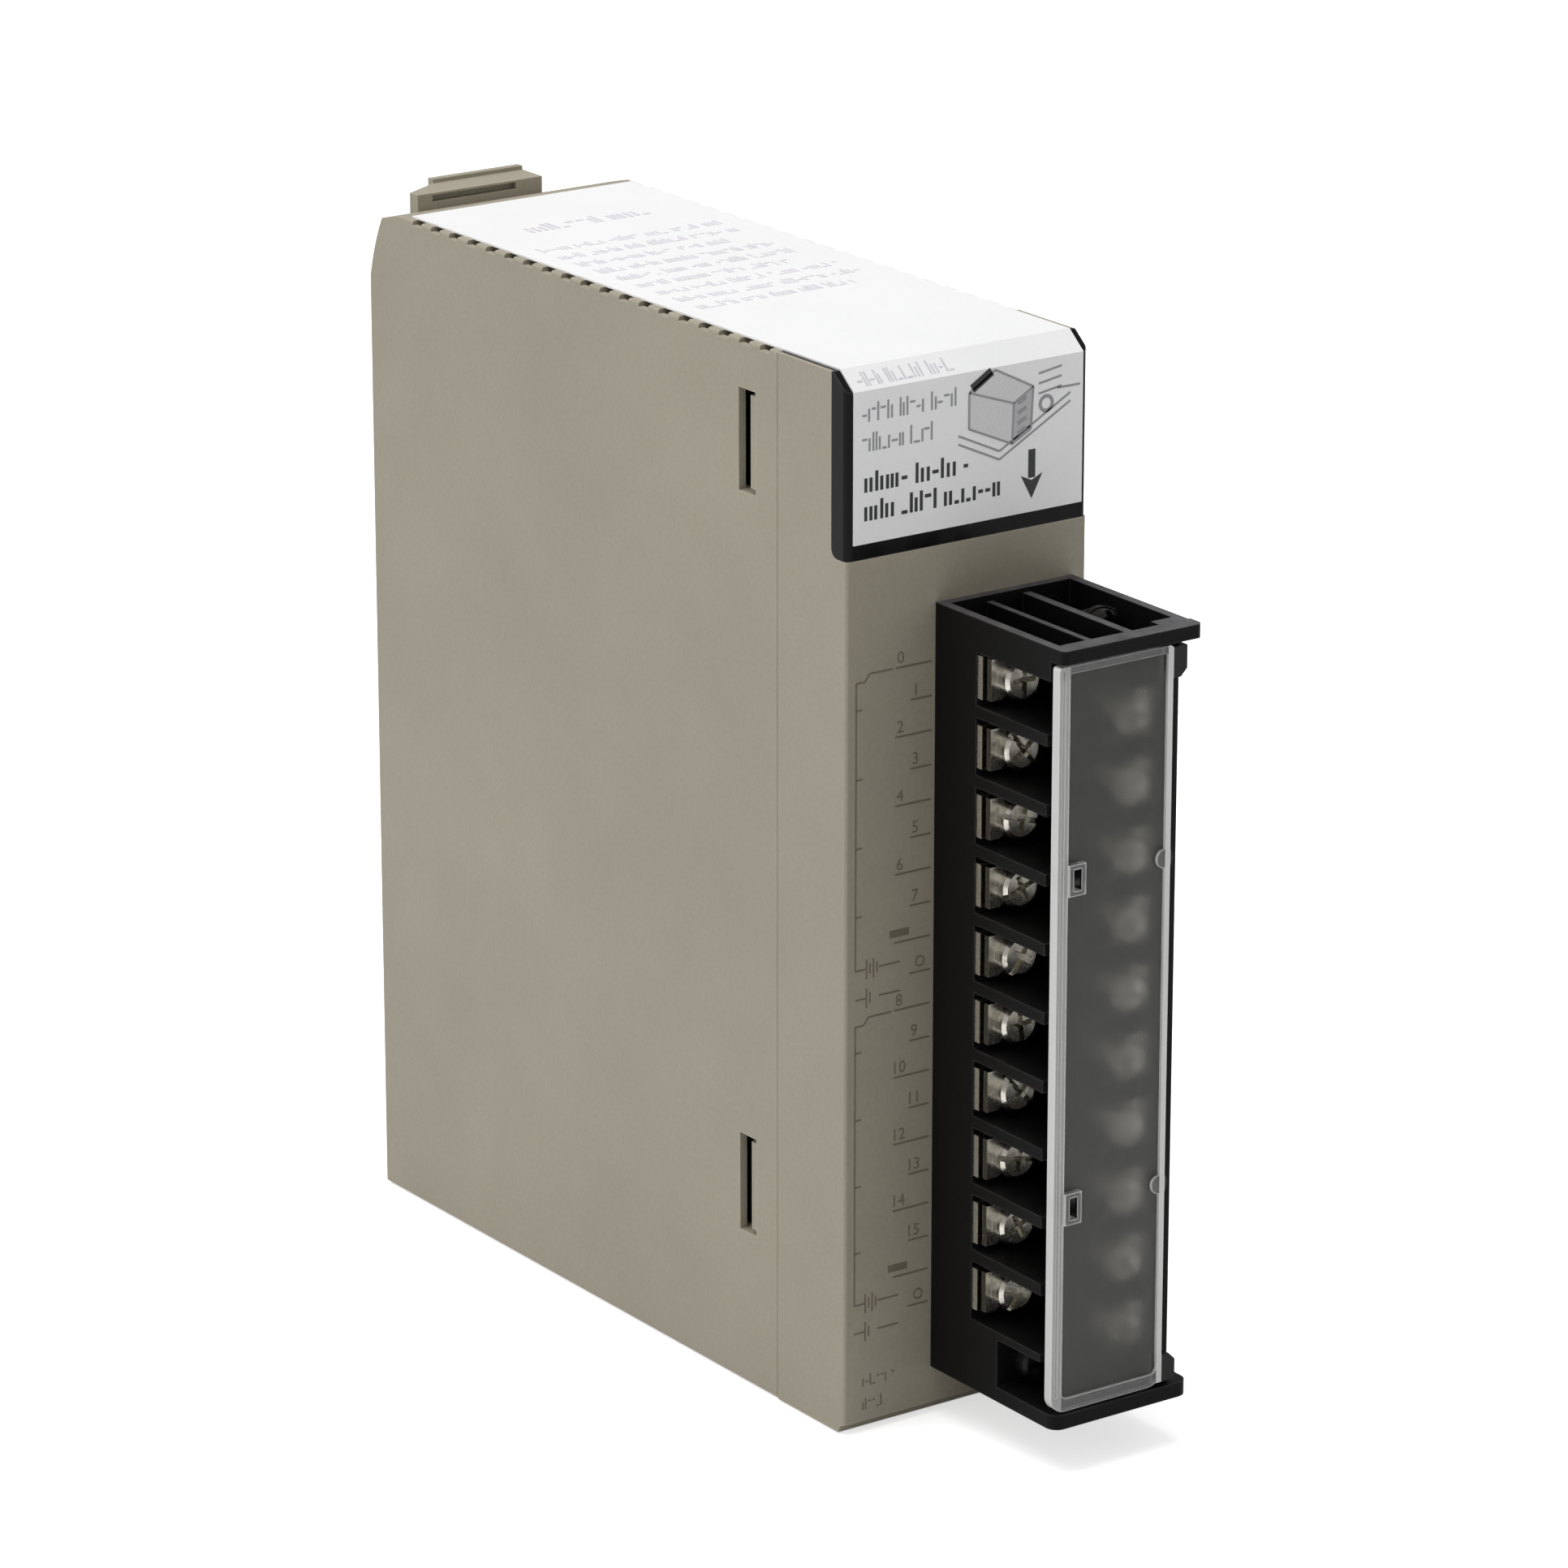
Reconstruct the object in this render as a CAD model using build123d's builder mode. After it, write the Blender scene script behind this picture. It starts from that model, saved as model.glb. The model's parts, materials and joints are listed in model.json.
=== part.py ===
"""Rack-mounted input module with a removable, covered screw terminal block.

The frame: X runs across the module, left to right as seen from the front, the front faces -Y, and Z is up.
The origin lies on the rear mounting plane, at the middle of the width and at the foot of the module.
"""

import os
from math import cos, radians, sin

from build123d import *

os.makedirs("parts", exist_ok=True)

# Case
WIDTH = 34.5
HEIGHT = 130.0
DEPTH = 102.0
WALL = 2.0
REAR_WALL = 2.5
SEAM_Y = -88.3
REAR_CORNER_Y = -6.8
REAR_CORNER_Z = 121.1
REAR_BEND = (-2.9, 129.0)
EDGE = 0.4
SEAM_CHAMFER = 0.15

# Hook at the top of the rear
HOOK_LEFT = -12.4
HOOK_LIP_LEFT = -7.3
HOOK_RIGHT = 6.1
HOOK_TOP = 131.3
HOOK_SLOT_X = (-10.2, 2.2)
HOOK_SLOT_Z = (130.2, 131.05)

# Ventilation slots in the top and bottom
SLOT_PITCH = 4.15
SLOT_LENGTH = 2.0
TOP_SLOTS = 19
GROOVE_END = 16.5
GROOVE_DEPTH = 1.2
NOTCH_DEPTH = 0.55
BOTTOM_SLOTS = 12
FIRST_TOP_SLOT_Y = -11.0
FIRST_BOTTOM_SLOT_Y = -34.0

# Snap windows, where the front case latches into the rear case
SNAP_Z = (25.7, 118.0)
SNAP_HEIGHT = 12.4
SNAP_REAR_Y = -80.5
SNAP_FRONT_Y = -83.9
SNAP_LIP = 1.0
SNAP_LAND = 1.3

# Indicator window and the dust label stuck over it
WINDOW_BOTTOM_Z = 108.0
WINDOW_REAR_Y = -99.0
FRONT_TOP_Y = -99.4
FRONT_TOP_Z = 127.9
LABEL_THICKNESS = 0.2
LABEL_HALF_WIDTH = 16.35
LABEL_BOTTOM_Z = 109.9

# Terminal block
BLOCK_LEFT = -4.54
BLOCK_RIGHT = 15.23
BLOCK_BOTTOM = 5.86
BLOCK_TOP = 101.2
BLOCK_FRONT = -126.4
BLOCK_CORE_Y = -110.0
TRAY_UNDERSIDE = 97.1
TRAY_FLOOR = 98.2
FLANGE_TOP = 7.7
LIP_UNDERSIDE = 99.5
FOOT_SEAT_TOP = 13.7
TIER_LEFT = 5.0
TIER_Y = -117.6
TIER_WALL = 0.5
TIER_WALL_FRONT = -119.4
POCKET_LEFT = 8.3
SIDE_WALL = 1.2
BARRIER = 1.5
BARRIER_FRONT_LEFT = -123.5
BARRIER_FRONT_RIGHT = -122.4
RIGHT_WALL_FRONT = -122.4

# Terminals: two columns, staggered by half a pitch
TERMINALS = 10
TERMINAL_PITCH = 8.4
LEFT_X = -0.8
RIGHT_X = 9.0
LEFT_Z = [94.2 - TERMINAL_PITCH * row for row in range(TERMINALS)]
RIGHT_Z = [height - TERMINAL_PITCH / 2 for height in LEFT_Z]
LEFT_LEG_X = (3.7, 4.7)
RIGHT_LEG_X = (5.9, 6.9)
LEFT_PLATE_X = (-4.4, 4.7)
RIGHT_PLATE_X = (5.7, 12.3)
PLATE_HEIGHT = 5.2
PLATE = 1.0
LEG_END_Y = -92.5
BACK_OUT = 0.5
PRESSURE_PLATE = (6.6, 5.0, 0.8)
SCREW_TURN = 37

# M3 and M4 screws, as radii
M3_THREAD = 1.5
M4_THREAD = 2.0
NECK_CLEARANCE = 0.08
BLOCK_SCREW_TOP = (11.165, 97.8, -112.0)
BLOCK_SCREW_BOTTOM = (0.2, 10.6, -115.2)
INSERT_RADIUS = 2.1
MOUNT_Z = 7.0
MOUNT_SEAT_Y = -5.0

# Terminal cover and its hinge
HINGE_X = 12.9
HINGE_Y = -124.0
HINGE_PIN = 0.9
KNUCKLE = 1.15
EAR_RIGHT = 13.6
HINGE_CLEARANCE = 0.05
COVER_LEFT = -4.7
COVER_RIGHT = 11.6
COVER_BOTTOM = 7.9
COVER_TOP = 99.2
COVER_BACK = -124.7
COVER_PANEL_FRONT = -125.6
COVER_RIM_FRONT = -126.0
RIM_LEFT = 1.5
RIM_RIGHT = 0.75
RIM_TOP = 0.9
RIM_BOTTOM = 1.6
COVER_SLOTS = ((31.4, 35.3), (71.7, 75.5))

# Circuit boards
BOARD_FACE_X = -10.2
BOARD_THICKNESS = 1.6
INPUTS = 16

HALF = WIDTH / 2
INNER = HALF - WALL
FRONT_Y = -DEPTH


def box_between(x, y, z, mode=Mode.ADD):
    """Add or cut the box between three pairs of limits."""
    limits = [sorted(pair) for pair in (x, y, z)]
    with Locations(tuple((low + high) / 2 for low, high in limits)):
        return Box(*(high - low for low, high in limits), mode=mode)


def around(heights, margin):
    """The lowest and highest of a column's heights, with a margin past each."""
    return heights[-1] - margin, heights[0] + margin


def column_of_boxes(x, y, heights, thickness, mode=Mode.ADD):
    """Add or cut one box at each height, all between the same limits in X and Y."""
    middles = [((x[0] + x[1]) / 2, (y[0] + y[1]) / 2, z) for z in heights]
    with Locations(*middles):
        return Box(abs(x[1] - x[0]), abs(y[1] - y[0]), thickness, mode=mode)


def column_of_rods(x, heights, y, radius, mode=Mode.ADD):
    """Add or cut round bars along Y between two depths, one at each height."""
    low, high = sorted(y)
    with Locations(*(Plane(origin=(x, low, z), z_dir=(0, 1, 0)) for z in heights)):
        return Cylinder(radius, high - low, align=(Align.CENTER, Align.CENTER, Align.MIN), mode=mode)


def rod(x, z, y, radius, mode=Mode.ADD):
    """Add or cut one round bar along Y between two depths."""
    return column_of_rods(x, [z], y, radius, mode)


def turned(x, z, outline):
    """Add the solid swept by an outline of (radius, depth) points about the line along Y at x, z."""
    with BuildSketch(Plane(origin=(x, 0, z), x_dir=(1, 0, 0), z_dir=(0, 0, 1))) as profile:
        with BuildLine():
            Polyline(*outline, close=True)
        make_face()
    revolve(profile.sketch, axis=Axis((x, 0, z), (0, 1, 0)))


def cross_and_slot(x, z, face_y, radius, turn=0):
    """Cut a slot with a cross recess at its middle into a screw head's front face, turned by some degrees."""
    slot_width, slot_depth = 0.28 * radius, 0.3 * radius
    arm_length, arm_depth = 1.3 * radius, 0.45 * radius
    cuts = (
        (slot_width, 2.2 * radius, slot_depth),
        (slot_width, arm_length, arm_depth),
        (arm_length, slot_width, arm_depth),
    )
    across = (cos(radians(turn)), 0, sin(radians(turn)))
    with Locations(Plane(origin=(x, face_y, z), x_dir=across, z_dir=(0, 1, 0))):
        for cut in cuts:
            Box(*cut, align=(Align.CENTER, Align.CENTER, Align.MIN), mode=Mode.SUBTRACT)


def window_outline():
    """Side view of the indicator window, with its rounded foot, as a face on the YZ plane."""
    foot = 1.2
    with BuildSketch(Plane.YZ) as outline:
        with BuildLine():
            Polyline(
                (WINDOW_REAR_Y, WINDOW_BOTTOM_Z + foot),
                (WINDOW_REAR_Y, HEIGHT),
                (FRONT_TOP_Y, HEIGHT),
                (FRONT_Y, FRONT_TOP_Z),
                (FRONT_Y, WINDOW_BOTTOM_Z),
                (WINDOW_REAR_Y - foot, WINDOW_BOTTOM_Z),
            )
            RadiusArc(
                (WINDOW_REAR_Y - foot, WINDOW_BOTTOM_Z),
                (WINDOW_REAR_Y, WINDOW_BOTTOM_Z + foot),
                -foot,
            )
        make_face()
    return outline.sketch


def cover_outline(x, z, y, top_radius, bottom_radius):
    """An upright outline of the terminal cover, as a face at a depth that looks to the front."""
    middle = ((x[0] + x[1]) / 2, y, (z[0] + z[1]) / 2)
    with BuildSketch(Plane(origin=middle, x_dir=(1, 0, 0), z_dir=(0, -1, 0))) as outline:
        Rectangle(x[1] - x[0], z[1] - z[0])
        fillet(outline.vertices().group_by(Axis.Y)[0], bottom_radius)
        fillet(outline.vertices().group_by(Axis.Y)[-1], top_radius)
    return outline.sketch


# ---------------------------------------------------------------- case
# Rear case: a deep shell that carries the mounting plane, the hook and the mounting screw.
with BuildPart() as rear_case:
    with BuildSketch(Plane.YZ):
        with BuildLine():
            Polyline(
                REAR_BEND,
                (REAR_CORNER_Y, HEIGHT),
                (SEAM_Y, HEIGHT),
                (SEAM_Y, 0),
                (0, 0),
                (0, REAR_CORNER_Z),
            )
            ThreePointArc((0, REAR_CORNER_Z), (-1.3, 125.5), REAR_BEND)
        make_face()
    extrude(amount=HALF, both=True)
    long_edges = rear_case.edges().filter_by(Axis.Y).group_by(Axis.Z)
    fillet(long_edges[0] + long_edges[-1], EDGE)
    chamfer(rear_case.faces().sort_by(Axis.Y)[0].edges(), SEAM_CHAMFER)
    with BuildSketch(Plane.YZ):
        with BuildLine():
            Polyline(
                (SEAM_Y, WALL),
                (-REAR_WALL, WALL),
                (-REAR_WALL, 119.0),
                (-9.0, HEIGHT - WALL),
                (SEAM_Y, HEIGHT - WALL),
                close=True,
            )
        make_face()
    extrude(amount=INNER, both=True, mode=Mode.SUBTRACT)

    # Ventilation slots: open into the case between the side walls, run on as grooves over the walls, and
    # end in shallow notches through the top edges.
    with Locations((0, FIRST_TOP_SLOT_Y - SLOT_PITCH * (TOP_SLOTS - 1) / 2, HEIGHT)):
        with GridLocations(1, SLOT_PITCH, 1, TOP_SLOTS):
            Box(2 * INNER - 1.5, SLOT_LENGTH, 2 * WALL + 2, mode=Mode.SUBTRACT)
            Box(2 * GROOVE_END, SLOT_LENGTH, 2 * GROOVE_DEPTH, mode=Mode.SUBTRACT)
            Box(WIDTH + 2, SLOT_LENGTH, 2 * NOTCH_DEPTH, mode=Mode.SUBTRACT)
    with Locations((0, FIRST_BOTTOM_SLOT_Y - SLOT_PITCH * (BOTTOM_SLOTS - 1) / 2, 0)):
        with GridLocations(9.8, SLOT_PITCH, 2, BOTTOM_SLOTS):
            Box(7.4, SLOT_LENGTH, 2 * WALL + 1, mode=Mode.SUBTRACT)

    # Snap windows in both side walls, relieved from inside so that only a thin lip is left at the rear
    for side in (-1, 1):
        column_of_boxes(
            (side * (INNER - 1), side * (HALF - SNAP_LIP)),
            (SNAP_FRONT_Y, SNAP_REAR_Y + 1.8),
            SNAP_Z,
            SNAP_HEIGHT,
            mode=Mode.SUBTRACT,
        )
        column_of_boxes(
            (side * (INNER - 1), side * (HALF + 1)),
            (SNAP_FRONT_Y, SNAP_REAR_Y),
            SNAP_Z,
            SNAP_HEIGHT,
            mode=Mode.SUBTRACT,
        )

    # Guide ribs that hold the main board's edges
    for low, high in ((-13.1, -11.9), (-10.1, -8.9)):
        box_between((low, high), (-80, -30), (WALL, 6.0))
        box_between((low, high), (-80, -16), (HEIGHT - 6.0, HEIGHT - WALL))

    # Pocket for the mounting screw, open downwards, behind a thick stretch of rear wall
    box_between((-7, 7), (-27.5, 0), (0, 14))
    box_between((-5.5, 5.5), (-26, MOUNT_SEAT_Y), (-1, 12.5), mode=Mode.SUBTRACT)
    rod(0, MOUNT_Z, (MOUNT_SEAT_Y, 0), 2.2, mode=Mode.SUBTRACT)

    # Opening for the backplane connector
    box_between((-6, 6), (-REAR_WALL, 0), (42, 108), mode=Mode.SUBTRACT)

    # Hook that hangs the module on the rack's upper rail: a slotted riser, a top plate and a rear lip
    box_between((HOOK_LEFT, HOOK_RIGHT), (-3.6, -1.8), (126.5, HOOK_TOP))
    with BuildSketch(Plane.XY.offset(HOOK_TOP - 0.8)):
        with BuildLine():
            Polyline(
                (HOOK_LEFT, -3.6),
                (HOOK_RIGHT, -3.6),
                (HOOK_RIGHT, 2.0),
                (HOOK_LIP_LEFT, 2.0),
                (HOOK_LIP_LEFT, 0.9),
                (HOOK_LEFT, -1.8),
                close=True,
            )
        make_face()
    extrude(amount=0.8)
    box_between((HOOK_LIP_LEFT, HOOK_RIGHT), (0.9, 2.0), (129.3, HOOK_TOP + 0.5))
    box_between(HOOK_SLOT_X, (-3.6, -2.6), HOOK_SLOT_Z, mode=Mode.SUBTRACT)
rear_case.part.label = "rear_case"
export_step(rear_case.part, "parts/rear_case.step")

# Front case: the shallow front shell, with latch arms that snap into the rear case's side walls.
with BuildPart() as front_case:
    with BuildSketch(Plane.YZ):
        with BuildLine():
            foot = 1.2
            Polyline(
                (FRONT_Y + foot, 0),
                (SEAM_Y, 0),
                (SEAM_Y, HEIGHT),
                (FRONT_TOP_Y, HEIGHT),
                (FRONT_Y, FRONT_TOP_Z),
                (FRONT_Y, foot),
            )
            RadiusArc((FRONT_Y, foot), (FRONT_Y + foot, 0), foot)
        make_face()
    extrude(amount=HALF, both=True)
    upright = front_case.edges().filter_by(Axis.Z).group_by(Axis.Y)[0]
    fillet(upright, EDGE)
    chamfer(front_case.faces().sort_by(Axis.Y)[-1].edges(), SEAM_CHAMFER)
    box_between((-INNER, INNER), (FRONT_Y + WALL, SEAM_Y), (WALL, 126.5), mode=Mode.SUBTRACT)

    # Wall behind the indicator window, with the opening for the light guide
    box_between((-INNER, INNER), (FRONT_Y + WALL, -97), (106, 126.5))
    extrude(window_outline(), amount=HALF, both=True, mode=Mode.SUBTRACT)
    box_between((-16.9, 16.9), (WINDOW_REAR_Y, SEAM_Y), (128.5, HEIGHT), mode=Mode.SUBTRACT)
    box_between((-12.5, 12.5), (WINDOW_REAR_Y, -97), (110.5, 125.5), mode=Mode.SUBTRACT)

    # Tongue that nests inside the rear case
    box_between((-15.1, 15.1), (SEAM_Y, -86.8), (2.15, 127.85))
    box_between((-13.9, 13.9), (SEAM_Y, -86.8), (3.35, 126.5), mode=Mode.SUBTRACT)

    # Latch arms, each with a catch that fills the front of its snap window
    for side in (-1, 1):
        for height in SNAP_Z:
            box_between((side * 13.6, side * 15.1), (-90, -82.0), (height - 5.6, height + 5.6))
            plane = Plane.XY.offset(height - 5.6)
            with BuildSketch(plane):
                with BuildLine():
                    Polyline(
                        (side * 15.0, SNAP_FRONT_Y),
                        (side * 17.0, SNAP_FRONT_Y),
                        (side * 17.0, SNAP_FRONT_Y + SNAP_LAND),
                        (side * 15.0, -82.0),
                        close=True,
                    )
                make_face()
            extrude(amount=11.2)

    # Stepped opening for the terminal block's legs
    for sides, heights in (((2.6, 5.4), LEFT_Z), ((5.4, 8.4), RIGHT_Z)):
        box_between(sides, (FRONT_Y, FRONT_Y + WALL), around(heights, 2.0), mode=Mode.SUBTRACT)

    # Bosses for the terminal block's threaded inserts
    for x, z, seat in (BLOCK_SCREW_TOP, BLOCK_SCREW_BOTTOM):
        rod(x, z, (FRONT_Y + WALL, -94), 3.2)
        rod(x, z, (FRONT_Y + WALL, -94), INSERT_RADIUS, mode=Mode.SUBTRACT)
        rod(x, z, (FRONT_Y, FRONT_Y + WALL), 1.7, mode=Mode.SUBTRACT)
front_case.part.label = "front_case"
export_step(front_case.part, "parts/front_case.step")

# Indicator window: a dark shell that wraps over the front's top edge.
with BuildPart() as indicator_window:
    extrude(window_outline(), amount=HALF, both=True)
    upright = indicator_window.edges().filter_by(Axis.Z).group_by(Axis.Y)[0]
    fillet(upright, 0.8)
    box_between((-16.8, 16.8), (WINDOW_REAR_Y, SEAM_Y - 0.1), (128.5, HEIGHT))
indicator_window.part.label = "indicator_window"
export_step(indicator_window.part, "parts/indicator_window.step")

# Dust label: a thin film over the top slots that turns down over the indicator window.
with BuildPart() as dust_label:
    with BuildSketch(Plane.YZ):
        with BuildLine():
            Polyline(
                (-8.5, HEIGHT),
                (FRONT_TOP_Y, HEIGHT),
                (FRONT_Y, FRONT_TOP_Z),
                (FRONT_Y, LABEL_BOTTOM_Z),
                (FRONT_Y + 5, LABEL_BOTTOM_Z),
                (-8.5, 120),
                close=True,
            )
        make_face()
        offset(amount=LABEL_THICKNESS, kind=Kind.INTERSECTION)
        with BuildLine():
            Polyline(
                (0, HEIGHT),
                (FRONT_TOP_Y, HEIGHT),
                (FRONT_Y, FRONT_TOP_Z),
                (FRONT_Y, 100),
                (0, 100),
                close=True,
            )
        make_face(mode=Mode.SUBTRACT)
        with Locations((-8.5 + LABEL_THICKNESS / 2, 125)):
            Rectangle(LABEL_THICKNESS, 20, mode=Mode.SUBTRACT)
        with Locations((-99.7, LABEL_BOTTOM_Z - LABEL_THICKNESS / 2)):
            Rectangle(10, LABEL_THICKNESS, mode=Mode.SUBTRACT)
    extrude(amount=LABEL_HALF_WIDTH, both=True)
dust_label.part.label = "dust_label"
export_step(dust_label.part, "parts/dust_label.step")

# ---------------------------------------------------------------- electronics
# Main board: stands upright along the module, on its left side.
with BuildPart() as main_board:
    with BuildSketch(Plane.YZ.offset(BOARD_FACE_X)):
        with BuildLine():
            Polyline(
                (-97, 4),
                (-28.5, 4),
                (-28.5, 15),
                (-5.5, 15),
                (-5.5, 117),
                (-12.5, 125.8),
                (-88.8, 125.8),
                (-88.8, 105.5),
                (-97, 105.5),
                close=True,
            )
        make_face()
        with Locations((-70, 12), (-70, 118), (-14, 30)):
            Circle(1.6, mode=Mode.SUBTRACT)
    extrude(amount=-BOARD_THICKNESS)
main_board.part.label = "main_board"
export_step(main_board.part, "parts/main_board.step")

# Photocouplers: one four-legged package per input, in a column behind the block header.
with BuildPart() as photocouplers:
    packages = [12.0 + 6.4 * channel for channel in range(INPUTS)]
    legs = [z + side for z in packages for side in (-1.27, 1.27)]
    column_of_boxes((BOARD_FACE_X + 0.3, BOARD_FACE_X + 2.3), (-84.2, -79.8), packages, 3.6)
    column_of_boxes((BOARD_FACE_X, BOARD_FACE_X + 0.5), (-85.4, -78.6), legs, 0.4)
photocouplers.part.label = "photocouplers"
export_step(photocouplers.part, "parts/photocouplers.step")

# Input resistors: two chips per input.
with BuildPart() as input_resistors:
    with Locations(Plane(origin=(BOARD_FACE_X, -73.5, 60.0), x_dir=(0, 1, 0), z_dir=(1, 0, 0))):
        with GridLocations(5.0, 6.4, 2, INPUTS):
            Box(3.2, 1.6, 0.6, align=(Align.CENTER, Align.CENTER, Align.MIN))
input_resistors.part.label = "input_resistors"
export_step(input_resistors.part, "parts/input_resistors.step")

# Interface chip: a square package with a row of leads on each side.
with BuildPart() as interface_chip:
    box_between((BOARD_FACE_X + 0.1, BOARD_FACE_X + 1.7), (-47, -33), (68, 82))
    for turn in range(4):
        angle = turn * 90
        middle = (BOARD_FACE_X, -40 + 7.6 * cos(radians(angle)), 75 + 7.6 * sin(radians(angle)))
        facing = Plane(origin=middle, x_dir=(0, cos(radians(angle)), sin(radians(angle))), z_dir=(1, 0, 0))
        with Locations(facing):
            with GridLocations(1.0, 1.0, 1, 12):
                Box(1.4, 0.4, 0.6, align=(Align.CENTER, Align.CENTER, Align.MIN))
interface_chip.part.label = "interface_chip"
export_step(interface_chip.part, "parts/interface_chip.step")

# Capacitors: three cans standing on the main board.
with BuildPart() as capacitors:
    with Locations(*[Plane(origin=(BOARD_FACE_X, -58, z), z_dir=(1, 0, 0)) for z in (40, 52, 64)]):
        Cylinder(3.6, 9.0, align=(Align.CENTER, Align.CENTER, Align.MIN))
    rims = capacitors.faces().group_by(Axis.X)[-1].edges()
    fillet(rims, 0.6)
capacitors.part.label = "capacitors"
export_step(capacitors.part, "parts/capacitors.step")

# Indicator board: a small board behind the window, square to the main board.
with BuildPart() as indicator_board:
    box_between((-13, 13), (-91.6, -90.0), (109.5, 125.8))
    box_between((BOARD_FACE_X, BOARD_FACE_X + 2.4), (-90.0, -84.0), (112, 123))
indicator_board.part.label = "indicator_board"
export_step(indicator_board.part, "parts/indicator_board.step")

# Indicator LEDs: two rows of eight on the indicator board.
with BuildPart() as indicator_leds:
    with Locations(Plane(origin=(0.9, -91.6, 117.5), x_dir=(1, 0, 0), z_dir=(0, -1, 0))):
        with GridLocations(2.6, 6.0, 8, 2):
            Box(1.6, 2.0, 0.9, align=(Align.CENTER, Align.CENTER, Align.MIN))
indicator_leds.part.label = "indicator_leds"
export_step(indicator_leds.part, "parts/indicator_leds.step")

# Light guide: a comb that keeps the LEDs' light apart on its way to the window.
with BuildPart() as light_guide:
    box_between((-12.4, 12.4), (-98.95, -93.0), (110.6, 125.4))
    with Locations(Plane(origin=(0.9, -93.0, 117.5), x_dir=(1, 0, 0), z_dir=(0, -1, 0))):
        with GridLocations(2.6, 6.0, 8, 2):
            Box(2.0, 4.4, 6.5, mode=Mode.SUBTRACT, align=(Align.CENTER, Align.CENTER, Align.MIN))
light_guide.part.label = "light_guide"
export_step(light_guide.part, "parts/light_guide.step")

# Backplane connector: an angled socket on the main board, with its face in the rear wall's opening.
with BuildPart() as backplane_connector:
    box_between((BOARD_FACE_X, 5.2), (-13.0, -2.7), (43.5, 106.5))
    box_between((-5.2, 5.2), (-2.7, -0.6), (43.5, 106.5))
    with Locations(Plane(origin=(0, -0.6, 75), x_dir=(1, 0, 0), z_dir=(0, 1, 0))):
        with GridLocations(2.54, 2.54, 3, 24):
            Box(1.1, 1.1, 5.0, mode=Mode.SUBTRACT, align=(Align.CENTER, Align.CENTER, Align.MAX))
backplane_connector.part.label = "backplane_connector"
export_step(backplane_connector.part, "parts/backplane_connector.step")

# Block header: sockets for the terminal block's legs, carried on an arm from the main board.
with BuildPart() as block_header:
    box_between((1.2, 5.4), (-99.9, -91.0), around(LEFT_Z, 2.9))
    box_between((5.4, 9.6), (-99.9, -91.0), around(RIGHT_Z, 2.9))
    box_between((2.8, 5.4), (-101.8, -99.9), around(LEFT_Z, 1.8))
    box_between((5.4, 8.2), (-101.8, -99.9), around(RIGHT_Z, 1.8))
    box_between((BOARD_FACE_X, 1.2), (-97.0, -91.0), (20, 90))
    for legs, heights in ((LEFT_LEG_X, LEFT_Z), (RIGHT_LEG_X, RIGHT_Z)):
        socket = (legs[0] - 0.15, legs[1] + 0.15)
        column_of_boxes(socket, (-101.8, -92.0), heights, 2.7, mode=Mode.SUBTRACT)
block_header.part.label = "block_header"
export_step(block_header.part, "parts/block_header.step")

# ---------------------------------------------------------------- mounting screw
# Mounting screw: captive, with a thin neck through the case and its thread standing out of the rear.
with BuildPart() as mounting_screw:
    turned(
        0,
        MOUNT_Z,
        [
            (0, -8.6),
            (3.4, -8.6),
            (3.9, -8.1),
            (3.9, -6.0),
            (1.6, -6.0),
            (1.6, 0.5),
            (M4_THREAD, 0.5),
            (M4_THREAD, 6.0),
            (1.5, 6.5),
            (0, 6.5),
        ],
    )
    cross_and_slot(0, MOUNT_Z, -8.6, 3.4)
mounting_screw.part.label = "mounting_screw"
export_step(mounting_screw.part, "parts/mounting_screw.step")

with BuildPart() as mounting_screw_washer:
    rod(0, MOUNT_Z, (-6.0, MOUNT_SEAT_Y), 4.3)
    rod(0, MOUNT_Z, (-6.0, MOUNT_SEAT_Y), 1.6 + NECK_CLEARANCE, mode=Mode.SUBTRACT)
mounting_screw_washer.part.label = "mounting_screw_washer"
export_step(mounting_screw_washer.part, "parts/mounting_screw_washer.step")

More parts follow.
